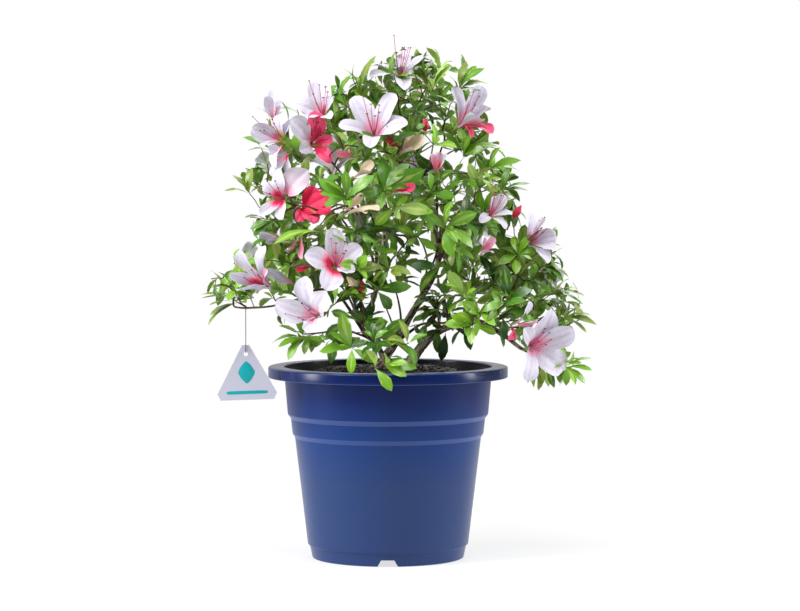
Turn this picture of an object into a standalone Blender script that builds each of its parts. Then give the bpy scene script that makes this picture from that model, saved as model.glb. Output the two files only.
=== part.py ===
"""An azalea bonsai in its blue plastic pot, with a hang tag on a wire.

Metres, +Z up. The origin is the middle of the pot's foot, on the ground, and the plant is seen from -Y.
Three stems rise from the soil, boughs leave them for the leaf masses, and each piece is one solid.
"""

import math

import bmesh
import bpy
import numpy as np
from mathutils import Vector
from mathutils.bvhtree import BVHTree

# Every piece keeps this far from its neighbours.
GAP = 0.0003

# Pot: heights are above the ground
POT_HEIGHT = 0.176
POT_WALL = 0.002
RIM_RADIUS = 0.110
RIM_BAND = 0.010
RIM_INNER_RADIUS = 0.0955
RIM_ROUNDING = 0.0012
WALL_TOP_RADIUS = 0.0950
UPPER_STEP = (0.131, 0.0920, 0.0895)
LOWER_STEP = (0.113, 0.0872, 0.0860)
FOOT_STEP = (0.0124, 0.0738, 0.0720)
STEP_FALL = 0.0008
FOOT_RADIUS = 0.0696
FOOT_RING_WIDTH = 0.004
FLOOR_HEIGHT = 0.006
CENTRE_PAD_RADIUS = 0.012
POT_SIDES = 30
DRAIN_HOLES = 6
DRAIN_HOLE_RADIUS = 0.0055
DRAIN_CIRCLE_RADIUS = 0.045
NOTCH_ANGLES = (-90.0, 30.0, 150.0)
NOTCH_FOOT_WIDTH = 0.0192
NOTCH_TOP_WIDTH = 0.0140

# Soil, mounded under the stems
SOIL_TOP = 0.1745
SOIL_EDGE = 0.1645
SOIL_PLATEAU_RADIUS = 0.050

# Hang tag: a triangle with cut corners, hung by its hole on a wire that hooks over a twig
TAG_HINGE = (-0.1272, -0.060, 0.2323)
TAG_HOLE_DROP = 0.0416
TAG_HOLE_RADIUS = 0.0020
TAG_TOP_ABOVE_HOLE = 0.0080
TAG_HEIGHT = 0.0492
TAG_TOP_WIDTH = 0.0064
TAG_CORNER_WIDTH = 0.0534
TAG_FOOT_WIDTH = 0.0482
TAG_CORNER_RISE = 0.0058
TAG_THICKNESS = 0.0008
TAG_TILT = math.radians(2.0)
WIRE_RADIUS = 0.00035
WIRE_HOOK_RADIUS = 0.0020

# Leaf masses: centre, and half widths along X, Y and Z
MASSES = {
    "crown_top": ((0.022, 0.000, 0.430), (0.060, 0.056, 0.036)),
    "crown_top_left": ((-0.034, -0.015, 0.408), (0.034, 0.046, 0.032)),
    "upper_left": ((-0.084, 0.000, 0.392), (0.046, 0.050, 0.042)),
    "mid_left": ((-0.109, -0.010, 0.334), (0.038, 0.044, 0.034)),
    "upper_right": ((0.076, 0.005, 0.400), (0.034, 0.050, 0.044)),
    "upper_centre": ((0.009, -0.066, 0.366), (0.046, 0.034, 0.032)),
    "mid_front": ((-0.035, -0.082, 0.324), (0.042, 0.034, 0.034)),
    "low_front": ((-0.032, -0.074, 0.277), (0.042, 0.034, 0.028)),
    "left": ((-0.088, -0.010, 0.287), (0.034, 0.044, 0.028)),
    "left_tip": ((-0.134, -0.055, 0.262), (0.031, 0.030, 0.028)),
    "low_left_tip": ((-0.079, -0.040, 0.207), (0.026, 0.026, 0.014)),
    "over_rim": ((-0.014, -0.088, 0.201), (0.042, 0.024, 0.022)),
    "centre_right": ((0.047, -0.062, 0.315), (0.040, 0.038, 0.040)),
    "right": ((0.100, 0.000, 0.331), (0.036, 0.050, 0.038)),
    "right_shoulder": ((0.130, -0.010, 0.277), (0.034, 0.052, 0.034)),
    "inner_right": ((0.080, 0.040, 0.262), (0.028, 0.042, 0.030)),
    "low_right": ((0.094, -0.056, 0.230), (0.042, 0.034, 0.024)),
    "right_tip": ((0.154, 0.000, 0.223), (0.034, 0.048, 0.026)),
    "low_right_tip": ((0.157, -0.020, 0.181), (0.030, 0.028, 0.022)),
    "back_top": ((-0.003, 0.080, 0.392), (0.056, 0.040, 0.044)),
    "back_left": ((-0.076, 0.080, 0.327), (0.044, 0.044, 0.044)),
    "back_right": ((0.077, 0.085, 0.329), (0.046, 0.042, 0.044)),
    "back_centre": ((0.001, 0.108, 0.322), (0.036, 0.032, 0.042)),
    "back_low_left": ((-0.080, 0.072, 0.269), (0.042, 0.046, 0.026)),
    "back_low_right": ((0.126, 0.078, 0.252), (0.040, 0.044, 0.032)),
}
MASS_UNEVENNESS = 0.34
MASS_SEGMENTS = 13
MASS_RINGS = 8
# The lowest that some masses reach: over the pot's rim, and above the hook of the tag's wire
MASS_FLOORS = {"over_rim": POT_HEIGHT + 0.001, "left_tip": TAG_HINGE[2] + 0.005}

# Stems: points up the middle, radii at the foot, above the flare and at the tip, the share of the
# length where the stem is split at its bend, and the mass that its tip enters
STEMS = {
    "trunk_middle": (
        [
            (-0.0030, 0.000, SOIL_TOP + GAP),
            (-0.0025, 0.000, 0.1840),
            (0.0046, 0.001, 0.1941),
            (0.0110, 0.003, 0.2054),
            (0.0284, 0.010, 0.2346),
            (0.0431, 0.018, 0.2603),
            (0.0468, 0.022, 0.2823),
            (0.0403, 0.020, 0.3144),
            (0.0302, 0.012, 0.3510),
        ],
        (0.0066, 0.0037, 0.0013),
        0.43,
        "crown_top",
    ),
    "trunk_left": (
        [
            (-0.0030, 0.000, 0.1800),
            (-0.0110, -0.002, 0.1969),
            (-0.0215, -0.004, 0.2060),
            (-0.0234, -0.006, 0.2189),
            (-0.0129, -0.010, 0.2380),
            (-0.0092, -0.010, 0.2603),
            (-0.0037, -0.006, 0.2961),
            (-0.0120, -0.006, 0.3350),
        ],
        (0.0030, 0.0024, 0.0012),
        0.34,
        "crown_top_left",
    ),
    "trunk_right": (
        [
            (0.0211, 0.000, SOIL_TOP + GAP),
            (0.0225, 0.000, 0.1820),
            (0.0346, 0.001, 0.1978),
            (0.0477, 0.003, 0.2079),
            (0.0633, 0.006, 0.2134),
            (0.0844, 0.008, 0.2160),
            (0.1047, 0.006, 0.2052),
            (0.1240, -0.004, 0.1914),
        ],
        (0.0070, 0.0046, 0.0011),
        0.40,
        "low_right_tip",
    ),
}
FLARE_HEIGHT = 0.012
FOOT_RISE = 0.0025

# Boughs: the stem that each leaves, the share of the stem's length below it, points on the way, the mass
# that it enters, and its radii at its two ends
BOUGHS = {
    "bough_upper_left": ("trunk_left", 0.615, [(-0.040, -0.004, 0.348)], "upper_left", (0.0015, 0.0010)),
    "bough_mid_left": (
        "trunk_left", 0.49, [(-0.040, -0.008, 0.308), (-0.063, -0.010, 0.320)], "mid_left", (0.0015, 0.0009)
    ),
    "bough_left": ("trunk_left", 0.273, [(-0.045, -0.012, 0.262)], "left", (0.0014, 0.0009)),
    "bough_left_tip": (
        "trunk_left",
        0.205,
        [
            (-0.0450, -0.024, 0.2420),
            (-0.0639, -0.036, 0.2473),
            (-0.0789, -0.047, 0.2400),
            (-0.1019, -0.058, 0.2340),
            (-0.1201, -0.060, 0.2323),
            (-0.1330, -0.060, 0.2323),
            (-0.1385, -0.058, 0.2360),
        ],
        "left_tip",
        (0.0016, 0.0009),
    ),
    "bough_low_left": (
        "trunk_left", 0.154, [(-0.041, -0.014, 0.2100), (-0.060, -0.028, 0.2080)], "low_left_tip", (0.0013, 0.0008)
    ),
    "bough_over_rim": ("trunk_left", 0.089, [(-0.017, -0.034, 0.208)], "over_rim", (0.0014, 0.0009)),
    "bough_low_front": ("trunk_left", 0.244, [(-0.026, -0.032, 0.248)], "low_front", (0.0014, 0.0009)),
    "bough_mid_front": ("trunk_left", 0.523, [(-0.014, -0.032, 0.312)], "mid_front", (0.0014, 0.0009)),
    "bough_back_left": ("trunk_left", 0.54, [(-0.030, 0.035, 0.316)], "back_left", (0.0015, 0.0009)),
    "bough_back_low_left": ("trunk_left", 0.224, [(-0.042, 0.028, 0.246)], "back_low_left", (0.0014, 0.0009)),
    "bough_back_centre": ("trunk_left", 0.423, [(-0.002, 0.045, 0.298)], "back_centre", (0.0014, 0.0009)),
    "bough_upper_centre": ("trunk_middle", 0.652, [(0.030, -0.020, 0.352)], "upper_centre", (0.0014, 0.0009)),
    "bough_centre_right": ("trunk_middle", 0.371, [(0.046, -0.016, 0.286)], "centre_right", (0.0015, 0.0009)),
    "bough_right": ("trunk_middle", 0.491, [(0.066, 0.010, 0.312)], "right", (0.0015, 0.0009)),
    "bough_upper_right": ("trunk_middle", 0.708, [(0.048, 0.008, 0.372)], "upper_right", (0.0014, 0.0009)),
    "bough_back_top": ("trunk_middle", 0.667, [(0.018, 0.045, 0.362)], "back_top", (0.0015, 0.0009)),
    "bough_back_right": ("trunk_middle", 0.513, [(0.056, 0.052, 0.314)], "back_right", (0.0015, 0.0009)),
    "bough_low_right": (
        "trunk_middle",
        0.129,
        [(0.0230, -0.003, 0.2095), (0.0303, -0.007, 0.2143), (0.0394, -0.014, 0.2161), (0.0560, -0.028, 0.2175)],
        "low_right",
        (0.0016, 0.0009),
    ),
    "bough_inner_right": ("trunk_right", 0.359, [(0.074, 0.022, 0.226)], "inner_right", (0.0015, 0.0009)),
    "bough_right_shoulder": ("trunk_right", 0.486, [(0.108, 0.002, 0.240)], "right_shoulder", (0.0014, 0.0009)),
    "bough_right_tip": ("trunk_right", 0.589, [(0.116, 0.003, 0.211)], "right_tip", (0.0012, 0.0008)),
    "bough_back_low_right": ("trunk_right", 0.437, [(0.098, 0.040, 0.228)], "back_low_right", (0.0014, 0.0009)),
}
PATH_STEP = 0.00025
# A limb's cross-sections lie this far apart where it is straight, and each turns no more than this
LIMB_STATION = 0.018
STATION_TURN = math.radians(18.0)
END_STATION = 0.0015


def start_fresh():
    """Empty the scene and make the two collections."""
    for ob in list(bpy.data.objects):
        bpy.data.objects.remove(ob, do_unlink=True)
    collections = []
    for name in ("azalea_bonsai", "cutters"):
        collection = bpy.data.collections.new(name)
        bpy.context.scene.collection.children.link(collection)
        collections.append(collection)
    return collections


def principled(name, colour, roughness, metallic=0.0):
    material = bpy.data.materials.new(name)
    material.use_nodes = True
    shader = material.node_tree.nodes["Principled BSDF"]
    shader.inputs["Base Color"].default_value = (*colour, 1.0)
    shader.inputs["Roughness"].default_value = roughness
    shader.inputs["Metallic"].default_value = metallic
    return material


def add_object(name, data, material, collection):
    ob = bpy.data.objects.new(name, data)
    collection.objects.link(ob)
    if material is not None:
        data.materials.append(material)
    return ob


def add_cutter(name, mesh, collection):
    ob = add_object(name, mesh, None, collection)
    ob.hide_render = True
    ob.display_type = "WIRE"
    return ob


def cut(ob, cutter):
    modifier = ob.modifiers.new(cutter.name, "BOOLEAN")
    modifier.operation = "DIFFERENCE"
    modifier.solver = "EXACT"
    modifier.object = cutter


def smooth(mesh, angle=40.0):
    mesh.shade_smooth()
    mesh.set_sharp_from_angle(angle=math.radians(angle))


# ---- pot and soil ----


def wall_outline(inset):
    """The pot's wall from under its rim down to its foot, moved inward by inset: (radius, height) pairs."""
    points = [(WALL_TOP_RADIUS - inset, POT_HEIGHT - RIM_BAND)]
    for height, above, below in (UPPER_STEP, LOWER_STEP, FOOT_STEP):
        points += [(above - inset, height), (below - inset, height - STEP_FALL)]
    return points


def turned(name, profile, material, collection):
    """A solid of revolution: the (radius, height) profile is screwed once round Z."""
    mesh = bpy.data.meshes.new(name)
    edges = [(i, i + 1) for i in range(len(profile) - 1)]
    mesh.from_pydata([(r, 0.0, z) for r, z in profile], edges, [])
    ob = add_object(name, mesh, material, collection)
    screw = ob.modifiers.new("turn", "SCREW")
    screw.axis = "Z"
    screw.steps = screw.render_steps = POT_SIDES
    screw.use_merge_vertices = True
    screw.merge_threshold = 0.00005
    screw.use_normal_calculate = False
    return ob


def pot_profile():
    """Down the outside from the middle of the rim's top, across the foot, and up the inside."""
    round_off = RIM_ROUNDING
    rim_top = [
        (RIM_INNER_RADIUS + round_off, POT_HEIGHT),
        (RIM_RADIUS - round_off, POT_HEIGHT),
        (RIM_RADIUS, POT_HEIGHT - round_off),
        (RIM_RADIUS, POT_HEIGHT - RIM_BAND),
        (RIM_RADIUS - POT_WALL, POT_HEIGHT - RIM_BAND),
        (RIM_RADIUS - POT_WALL, POT_HEIGHT - 1.2 * POT_WALL),
        (WALL_TOP_RADIUS + POT_WALL / 2, POT_HEIGHT - 1.2 * POT_WALL),
    ]
    foot = [
        (FOOT_RADIUS, 0.0),
        (FOOT_RADIUS - FOOT_RING_WIDTH, 0.0),
        (FOOT_RADIUS - FOOT_RING_WIDTH, FLOOR_HEIGHT),
        (CENTRE_PAD_RADIUS, FLOOR_HEIGHT),
        (CENTRE_PAD_RADIUS, 0.0),
        (0.0, 0.0),
    ]
    inside = [(0.0, FLOOR_HEIGHT + POT_WALL), (wall_outline(POT_WALL)[-1][0], FLOOR_HEIGHT + POT_WALL)]
    inside += wall_outline(POT_WALL)[::-1][1:]
    inside += [(RIM_INNER_RADIUS, POT_HEIGHT - round_off), rim_top[0]]
    return rim_top + wall_outline(0.0) + foot + inside


def make_pot(material, parts, cutters):
    pot = turned("pot", pot_profile(), material, parts)
    for i in range(DRAIN_HOLES):
        angle = 2 * math.pi * (i + 0.5) / DRAIN_HOLES
        shape = bmesh.new()
        bmesh.ops.create_cone(
            shape,
            cap_ends=True,
            segments=8,
            radius1=DRAIN_HOLE_RADIUS,
            radius2=DRAIN_HOLE_RADIUS,
            depth=4 * POT_WALL,
        )
        place = (DRAIN_CIRCLE_RADIUS * math.cos(angle), DRAIN_CIRCLE_RADIUS * math.sin(angle), FLOOR_HEIGHT)
        bmesh.ops.translate(shape, verts=shape.verts, vec=place)
        mesh = bpy.data.meshes.new(f"drain_hole_{i}")
        shape.to_mesh(mesh)
        shape.free()
        cut(pot, add_cutter(mesh.name, mesh, cutters))
    for i, angle in enumerate(NOTCH_ANGLES):
        shape = bmesh.new()
        bmesh.ops.create_cube(shape, size=1.0)
        # the notch narrows upwards, from below the ground to the underside of the pot's floor
        for vertex in shape.verts:
            top = vertex.co.z > 0
            vertex.co.x *= 4 * FOOT_RING_WIDTH
            vertex.co.y *= NOTCH_TOP_WIDTH if top else NOTCH_FOOT_WIDTH
            vertex.co.z = FLOOR_HEIGHT - GAP if top else -GAP
        mesh = bpy.data.meshes.new(f"foot_notch_{i}")
        shape.to_mesh(mesh)
        shape.free()
        cutter = add_cutter(mesh.name, mesh, cutters)
        turn = math.radians(angle)
        cutter.location = (FOOT_RADIUS * math.cos(turn), FOOT_RADIUS * math.sin(turn), 0.0)
        cutter.rotation_euler.z = turn
        cut(pot, cutter)
    return pot


def make_soil(material, parts):
    """The root ball fills the pot, GAP from its wall and floor, and its top is mounded under the stems."""
    inset = POT_WALL + GAP
    bottom = FLOOR_HEIGHT + inset
    wall = [(r, z + GAP) for r, z in wall_outline(inset)[1:-1]]
    profile = [(0.0, SOIL_TOP), (SOIL_PLATEAU_RADIUS, SOIL_TOP), (WALL_TOP_RADIUS - inset - 2 * GAP, SOIL_EDGE)]
    profile += wall + [(FOOT_STEP[2] - inset - GAP, bottom), (0.0, bottom)]
    return turned("soil", profile, material, parts)


# ---- leaf masses ----


def unevenness(directions, seed):
    """Smooth bumps over the unit sphere, from 0 to 1: the mean of five waves along random axes."""
    rng = np.random.default_rng(seed)
    total = np.zeros(len(directions))
    for _ in range(5):
        axis = rng.normal(size=3)
        axis /= np.linalg.norm(axis)
        total += np.cos(rng.uniform(2.5, 7.0) * directions @ axis + rng.uniform(0, 2 * np.pi))
    return 0.5 + total / 10


def support(half_widths, direction):
    """How far an ellipsoid reaches from its middle along a direction."""
    return float(np.linalg.norm(np.array(half_widths) * direction))


def make_mass(name, seed, material, parts):
    """An uneven ball round its centre, flat where it meets a neighbour or its floor."""
    centre, half_widths = (np.array(v) for v in MASSES[name])
    shape = bmesh.new()
    bmesh.ops.create_uvsphere(shape, u_segments=MASS_SEGMENTS, v_segments=MASS_RINGS, radius=1.0)
    # triangles stay flat when the surface is made uneven
    bmesh.ops.triangulate(shape, faces=shape.faces)
    mesh = bpy.data.meshes.new("leaves_" + name)
    shape.to_mesh(mesh)
    shape.free()
    sphere = np.empty(3 * len(mesh.vertices))
    mesh.vertices.foreach_get("co", sphere)
    sphere = sphere.reshape(-1, 3)
    points = sphere * (1.0 - MASS_UNEVENNESS * unevenness(sphere, seed))[:, None]
    points *= half_widths / np.abs(points).max(axis=0)
    # planes that the mass stays behind: (unit normal, distance from its centre)
    planes = []
    for other, (other_centre, other_widths) in MASSES.items():
        apart = np.array(other_centre) - centre
        distance = float(np.linalg.norm(apart))
        if other != name:
            normal = apart / distance
            mine, theirs = support(half_widths, normal), support(other_widths, normal)
            planes.append((normal, distance * mine / (mine + theirs) - 0.51 * GAP))
    if name in MASS_FLOORS:
        planes.append((np.array([0.0, 0.0, -1.0]), centre[2] - MASS_FLOORS[name]))
    for normal, distance in planes:
        reach = points @ normal
        over = reach > distance
        points[over] *= (distance / reach[over])[:, None]
    mesh.vertices.foreach_set("co", (points + centre).ravel())
    smooth(mesh)
    return add_object(mesh.name, mesh, material, parts)


# ---- stems and boughs ----


def curve_through(points):
    """A smooth path through points, sampled every PATH_STEP: a Catmull-Rom curve."""
    knots = np.array([2 * np.array(points[0]) - points[1], *points, 2 * np.array(points[-1]) - points[-2]])
    pieces = []
    for a, b, c, d in zip(knots[:-3], knots[1:-2], knots[2:-1], knots[3:]):
        t = np.linspace(0, 1, max(3, int(np.linalg.norm(c - b) / PATH_STEP)), endpoint=False)[:, None]
        bend = (2 * a - 5 * b + 4 * c - d) * t**2 + (3 * b - a - 3 * c + d) * t**3
        pieces.append(b + 0.5 * ((c - a) * t + bend))
    return np.concatenate([*pieces, knots[-2:-1]])


def shares(path):
    """Each sample's share of the path's length, from 0 to 1."""
    along = np.concatenate([[0.0], np.cumsum(np.linalg.norm(np.diff(path, axis=0), axis=1))])
    return along / along[-1]


def tree_of(ob):
    mesh = ob.data
    return BVHTree.FromPolygons([v.co for v in mesh.vertices], [p.vertices[:] for p in mesh.polygons])


def sections(path, radii):
    """The middle and eight edge points of the limb's cross-section at each sample: an n x 9 x 3 array."""
    tangents = np.gradient(path, axis=0)
    tangents /= np.linalg.norm(tangents, axis=1)[:, None]
    side = np.cross(tangents, (0.31, 0.87, 0.38))
    side /= np.linalg.norm(side, axis=1)[:, None]
    up = np.cross(tangents, side)
    turn = np.arange(8) * math.pi / 4
    ring = side[:, None] * np.cos(turn)[:, None] + up[:, None] * np.sin(turn)[:, None]
    return np.concatenate([path[:, None], path[:, None] + radii[:, None, None] * ring], axis=1)


def clear_of_bark(section, tree):
    """Whether every point of a section lies outside a limb, GAP or more from it."""
    for point in section:
        place, normal, _, distance = tree.find_nearest(Vector(point))
        if distance < GAP or (Vector(point) - place).dot(normal) < 0:
            return False
    return True


def clear_of_mass(section, tree, centre):
    """Whether every point of a section lies outside a mass, GAP or more from it. From its centre, a mass
    shows all of its surface, so a point is inside it where it comes before that surface."""
    for point in section:
        _, _, _, distance = tree.find_nearest(Vector(point))
        outward = Vector(point) - centre
        _, _, _, surface = tree.ray_cast(centre, outward)
        if distance < GAP or outward.length < surface:
            return False
    return True


def clear_stretch(path, radii, parents, masses):
    """The first and last sample of the limb between its parent's bark and the first mass in its way."""
    rings = sections(path, radii)
    first = 0
    while first < len(path) and not all(clear_of_bark(rings[first], tree) for tree in parents):
        first += 1
    last = first
    while last + 1 < len(path) and all(clear_of_mass(rings[last + 1], *mass) for mass in masses):
        last += 1
    return first, last


def tube(name, path, radii, sides, material, parts, straight=0):
    """A limb: a curve with a round bevel and filled caps, turned into a closed mesh.

    Its cross-sections come closer together at bends. They begin after the first samples, which run
    straight, and one more lies close to the tip, so that the tip's flat end is square to the path.
    """
    steps = np.diff(path[straight:], axis=0)
    lengths = np.linalg.norm(steps, axis=1)
    turns = np.linalg.norm(np.diff(steps / lengths[:, None], axis=0, append=0), axis=1)
    turns[-1] = 0.0
    effort = np.concatenate([[0.0], np.cumsum(lengths / LIMB_STATION + turns / STATION_TURN)])
    marks = np.linspace(0.0, effort[-1], math.ceil(effort[-1]) + 1)
    near_tip = len(path) - 1 - int(END_STATION / PATH_STEP)
    chosen = np.unique([0, near_tip, *(straight + np.searchsorted(effort, marks).clip(max=len(effort) - 1))])
    curve = bpy.data.curves.new(name, "CURVE")
    curve.dimensions = "3D"
    curve.bevel_depth = 1.0
    curve.bevel_resolution = sides // 2 - 2
    curve.use_fill_caps = True
    spline = curve.splines.new("POLY")
    spline.points.add(len(chosen) - 1)
    for point, i in zip(spline.points, chosen):
        point.co = (*path[i], 1.0)
        point.radius = radii[i]
    rough = bpy.data.objects.new(name, curve)
    parts.objects.link(rough)
    mesh = bpy.data.meshes.new_from_object(rough.evaluated_get(bpy.context.evaluated_depsgraph_get()))
    bpy.data.objects.remove(rough)
    bpy.data.curves.remove(curve)
    mesh.name = name
    welded = bmesh.new()
    welded.from_mesh(mesh)
    bmesh.ops.remove_doubles(welded, verts=welded.verts, dist=0.00001)
    bmesh.ops.recalc_face_normals(welded, faces=welded.faces)
    welded.to_mesh(mesh)
    welded.free()
    mesh.materials.clear()
    smooth(mesh, 50.0)
    return add_object(name, mesh, material, parts)


def make_stem(name, parents, masses, material, parts):
    """A stem in two pieces that meet at its bend. Returns its path, radii and pieces."""
    points, (foot_radius, radius, tip_radius), split, target = STEMS[name]
    path = curve_through([*points, MASSES[target][0]])
    share = shares(path)
    flare = np.clip(1 - (path[:, 2] - path[0, 2]) / FLARE_HEIGHT, 0, 1) ** 2
    radii = radius + (tip_radius - radius) * share**0.7 + (foot_radius - radius) * flare
    straight = 0
    if not parents:
        # a stem rises straight out of the soil, so that its foot is a level cut
        straight = int(FOOT_RISE / PATH_STEP)
        path[: straight + 1, :2] = path[0, :2]
    first, last = clear_stretch(path, radii, parents, masses)
    bend = int(np.searchsorted(share, split))
    next_start = bend + math.ceil(GAP / PATH_STEP) + 1
    lower = tube(name, path[first : bend + 1], radii[first : bend + 1], 8, material, parts, straight)
    upper = tube(name + "_upper", path[next_start : last + 1], radii[next_start : last + 1], 8, material, parts)
    return path, radii, [lower, upper]


def make_bough(name, stems, masses, material, parts):
    stem, share, way, target, (base_radius, tip_radius) = BOUGHS[name]
    stem_path, _, pieces = stems[stem]
    start = stem_path[int(np.searchsorted(shares(stem_path), share))]
    path = curve_through([tuple(start), *way, MASSES[target][0]])
    radii = base_radius + (tip_radius - base_radius) * shares(path)
    first, last = clear_stretch(path, radii, [tree_of(ob) for ob in pieces], masses)
    return tube(name, path[first : last + 1], radii[first : last + 1], 6, material, parts)


# ---- hang tag ----


def make_wire(material, parts):
    """From behind the twig, over it, down to the plate, and forward to back through the plate's hole."""
    hook = [
        (WIRE_HOOK_RADIUS * math.cos(a), WIRE_HOOK_RADIUS * math.sin(a)) for a in np.linspace(0, math.pi, 9)
    ]
    strand = TAG_THICKNESS / 2 + 2 * GAP + WIRE_RADIUS
    hole = -TAG_HOLE_DROP
    hold = hole + TAG_HOLE_RADIUS - GAP - WIRE_RADIUS
    plate_top = hole + TAG_TOP_ABOVE_HOLE
    drop = [(-0.6 * WIRE_HOOK_RADIUS, -0.004), (0.0, -0.008), (0.0, plate_top + 0.004), (-strand, plate_top)]
    eye = [(-strand, hold + 0.0008), (-0.7 * strand, hold), (0.7 * strand, hold), (strand, hold + 0.0008)]
    route = [(WIRE_HOOK_RADIUS, -0.0028), *hook, *drop, *eye, (strand, hold + 0.0035)]
    x, y, z = TAG_HINGE
    path = np.array([(x, y + across, z + up) for across, up in route])
    return tube_through(path, WIRE_RADIUS, material, parts)


def tube_through(path, radius, material, parts):
    curve = bpy.data.curves.new("tag_wire", "CURVE")
    curve.dimensions = "3D"
    curve.bevel_depth = radius
    curve.bevel_resolution = 1
    curve.use_fill_caps = True
    spline = curve.splines.new("POLY")
    spline.points.add(len(path) - 1)
    for point, place in zip(spline.points, path):
        point.co = (*place, 1.0)
    return add_object("tag_wire", curve, material, parts)


def make_plate(material, parts):
    """A flat outline with a hole, extruded to the plate's thickness and hung a little askew."""
    top = TAG_TOP_ABOVE_HOLE
    foot = top - TAG_HEIGHT
    right_side = [
        (TAG_TOP_WIDTH / 2, top),
        (TAG_CORNER_WIDTH / 2, foot + TAG_CORNER_RISE),
        (TAG_FOOT_WIDTH / 2, foot),
    ]
    outline = right_side + [(-x, z) for x, z in reversed(right_side)]
    turn = np.arange(12) * math.pi / 6
    hole = [(TAG_HOLE_RADIUS * math.cos(a), TAG_HOLE_RADIUS * math.sin(a)) for a in turn]
    curve = bpy.data.curves.new("tag_plate", "CURVE")
    curve.dimensions = "2D"
    curve.fill_mode = "BOTH"
    curve.extrude = TAG_THICKNESS / 2
    for loop in (outline, hole):
        spline = curve.splines.new("POLY")
        spline.points.add(len(loop) - 1)
        spline.use_cyclic_u = True
        for point, (x, z) in zip(spline.points, loop):
            point.co = (x, z, 0.0, 1.0)
    ob = add_object("tag_plate", curve, material, parts)
    ob.location = (TAG_HINGE[0], TAG_HINGE[1], TAG_HINGE[2] - TAG_HOLE_DROP)
    # the outline's plane stands up and faces the front, and turns by the tilt within itself
    ob.rotation_euler = (math.pi / 2, -TAG_TILT, 0.0)
    return ob


def main():
    parts, cutters = start_fresh()
    plastic = principled("blue_plastic", (0.012, 0.022, 0.150), 0.32)
    dirt = principled("potting_soil", (0.018, 0.014, 0.011), 0.9)
    bark = principled("bark", (0.10, 0.07, 0.055), 0.85)
    twig_bark = principled("young_bark", (0.13, 0.09, 0.05), 0.8)
    leaf = principled("leaves", (0.10, 0.24, 0.04), 0.5)
    steel = principled("tag_wire", (0.45, 0.45, 0.48), 0.35, 1.0)
    card = principled("tag_plastic", (0.62, 0.62, 0.68), 0.45)

    make_pot(plastic, parts, cutters)
    make_soil(dirt, parts)
    masses = [make_mass(name, seed, leaf, parts) for seed, name in enumerate(MASSES)]
    mass_trees = [(tree_of(ob), Vector(centre)) for ob, (centre, _) in zip(masses, MASSES.values())]
    stems = {}
    for name in STEMS:
        parents = [] if name != "trunk_left" else [tree_of(ob) for ob in stems["trunk_middle"][2]]
        stems[name] = make_stem(name, parents, mass_trees, bark, parts)
    for name in BOUGHS:
        make_bough(name, stems, mass_trees, twig_bark, parts)
    make_wire(steel, parts)
    make_plate(card, parts)


main()
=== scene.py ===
import math

import bpy
import numpy as np
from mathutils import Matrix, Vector


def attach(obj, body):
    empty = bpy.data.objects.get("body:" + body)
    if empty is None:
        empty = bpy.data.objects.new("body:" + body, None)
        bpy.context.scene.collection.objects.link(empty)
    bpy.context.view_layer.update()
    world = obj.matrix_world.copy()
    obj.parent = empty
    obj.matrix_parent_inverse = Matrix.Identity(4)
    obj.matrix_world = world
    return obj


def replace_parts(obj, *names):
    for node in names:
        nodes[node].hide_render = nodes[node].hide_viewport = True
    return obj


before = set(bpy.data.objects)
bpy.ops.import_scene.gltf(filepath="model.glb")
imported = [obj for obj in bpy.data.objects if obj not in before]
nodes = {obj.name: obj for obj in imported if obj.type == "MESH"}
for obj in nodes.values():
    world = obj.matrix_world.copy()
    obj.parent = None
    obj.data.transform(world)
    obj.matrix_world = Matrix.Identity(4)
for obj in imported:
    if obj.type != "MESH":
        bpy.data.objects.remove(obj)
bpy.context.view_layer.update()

# Lengths are metres, and millimetres in the tables of limbs, masses, rosettes, flowers, buds and openings.
# Limbs and masses stand at their true places. For the rest, x and z are where a thing shows on the upright
# plane through the pot's middle, and depth is how far behind that plane it lies, along the line of sight.
mm = 0.001
camera = {"place": (0.011, -2.5, 0.351), "pitch": 2.74, "lens": 122.72, "sensor": 36.0, "nearest": 0.01}
eye = np.array(camera["place"])
up = np.array([0.0, 0.0, 1.0])
toViewer = np.array([0.0, -1.0, 0.0])
fullTurn = 2 * math.pi
noiseMix = {
    "axes": (73856093, 19349663, 83492791),
    "seed": 2654435761,
    "stir": 1274126177,
    "mask": 0x7FFFFFFF,
}


def unit(vectors):
    # each vector divided by its length
    return vectors / np.maximum(np.linalg.norm(vectors, axis=-1, keepdims=True), 1e-9)


def alongSight(x, z, depth):
    # the point (x, 0, z) slid along the line from the camera until its y is depth; all in millimetres
    point = np.stack(np.broadcast_arrays(np.asarray(x, float), 0.0, np.asarray(z, float)), -1) * mm
    return eye + (point - eye) * ((np.asarray(depth, float) * mm - eye[1]) / -eye[1])[..., None]


def seenAt(points):
    # where points show on the upright plane through the pot's middle, as (x, z)
    away = (points - eye) / (points[..., 1:2] - eye[1]) * -eye[1] + eye
    return away[..., [0, 2]]


def latticeNoise(points, seed):
    # smooth noise 0 to 1: a random value at every whole-number corner, blended by 3f^2 - 2f^3 along each axis
    cell = np.floor(points).astype(np.int64)
    part = points - cell
    part = part * part * (3 - 2 * part)
    total = np.zeros(points.shape[:-1])
    for corner in range(8):
        bits = np.array([corner & 1, corner >> 1 & 1, corner >> 2])
        place = (cell + bits) * np.array(noiseMix["axes"])
        mixed = place[..., 0] ^ place[..., 1] ^ place[..., 2] ^ (seed * noiseMix["seed"])
        mixed = mixed & noiseMix["mask"]
        mixed = ((mixed ^ (mixed >> 13)) * noiseMix["stir"]) & noiseMix["mask"]
        value = ((mixed ^ (mixed >> 16)) & 0xFFFF) / 65535.0
        total += value * np.prod(np.where(bits == 1, part, 1 - part), axis=-1)
    return total


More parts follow.
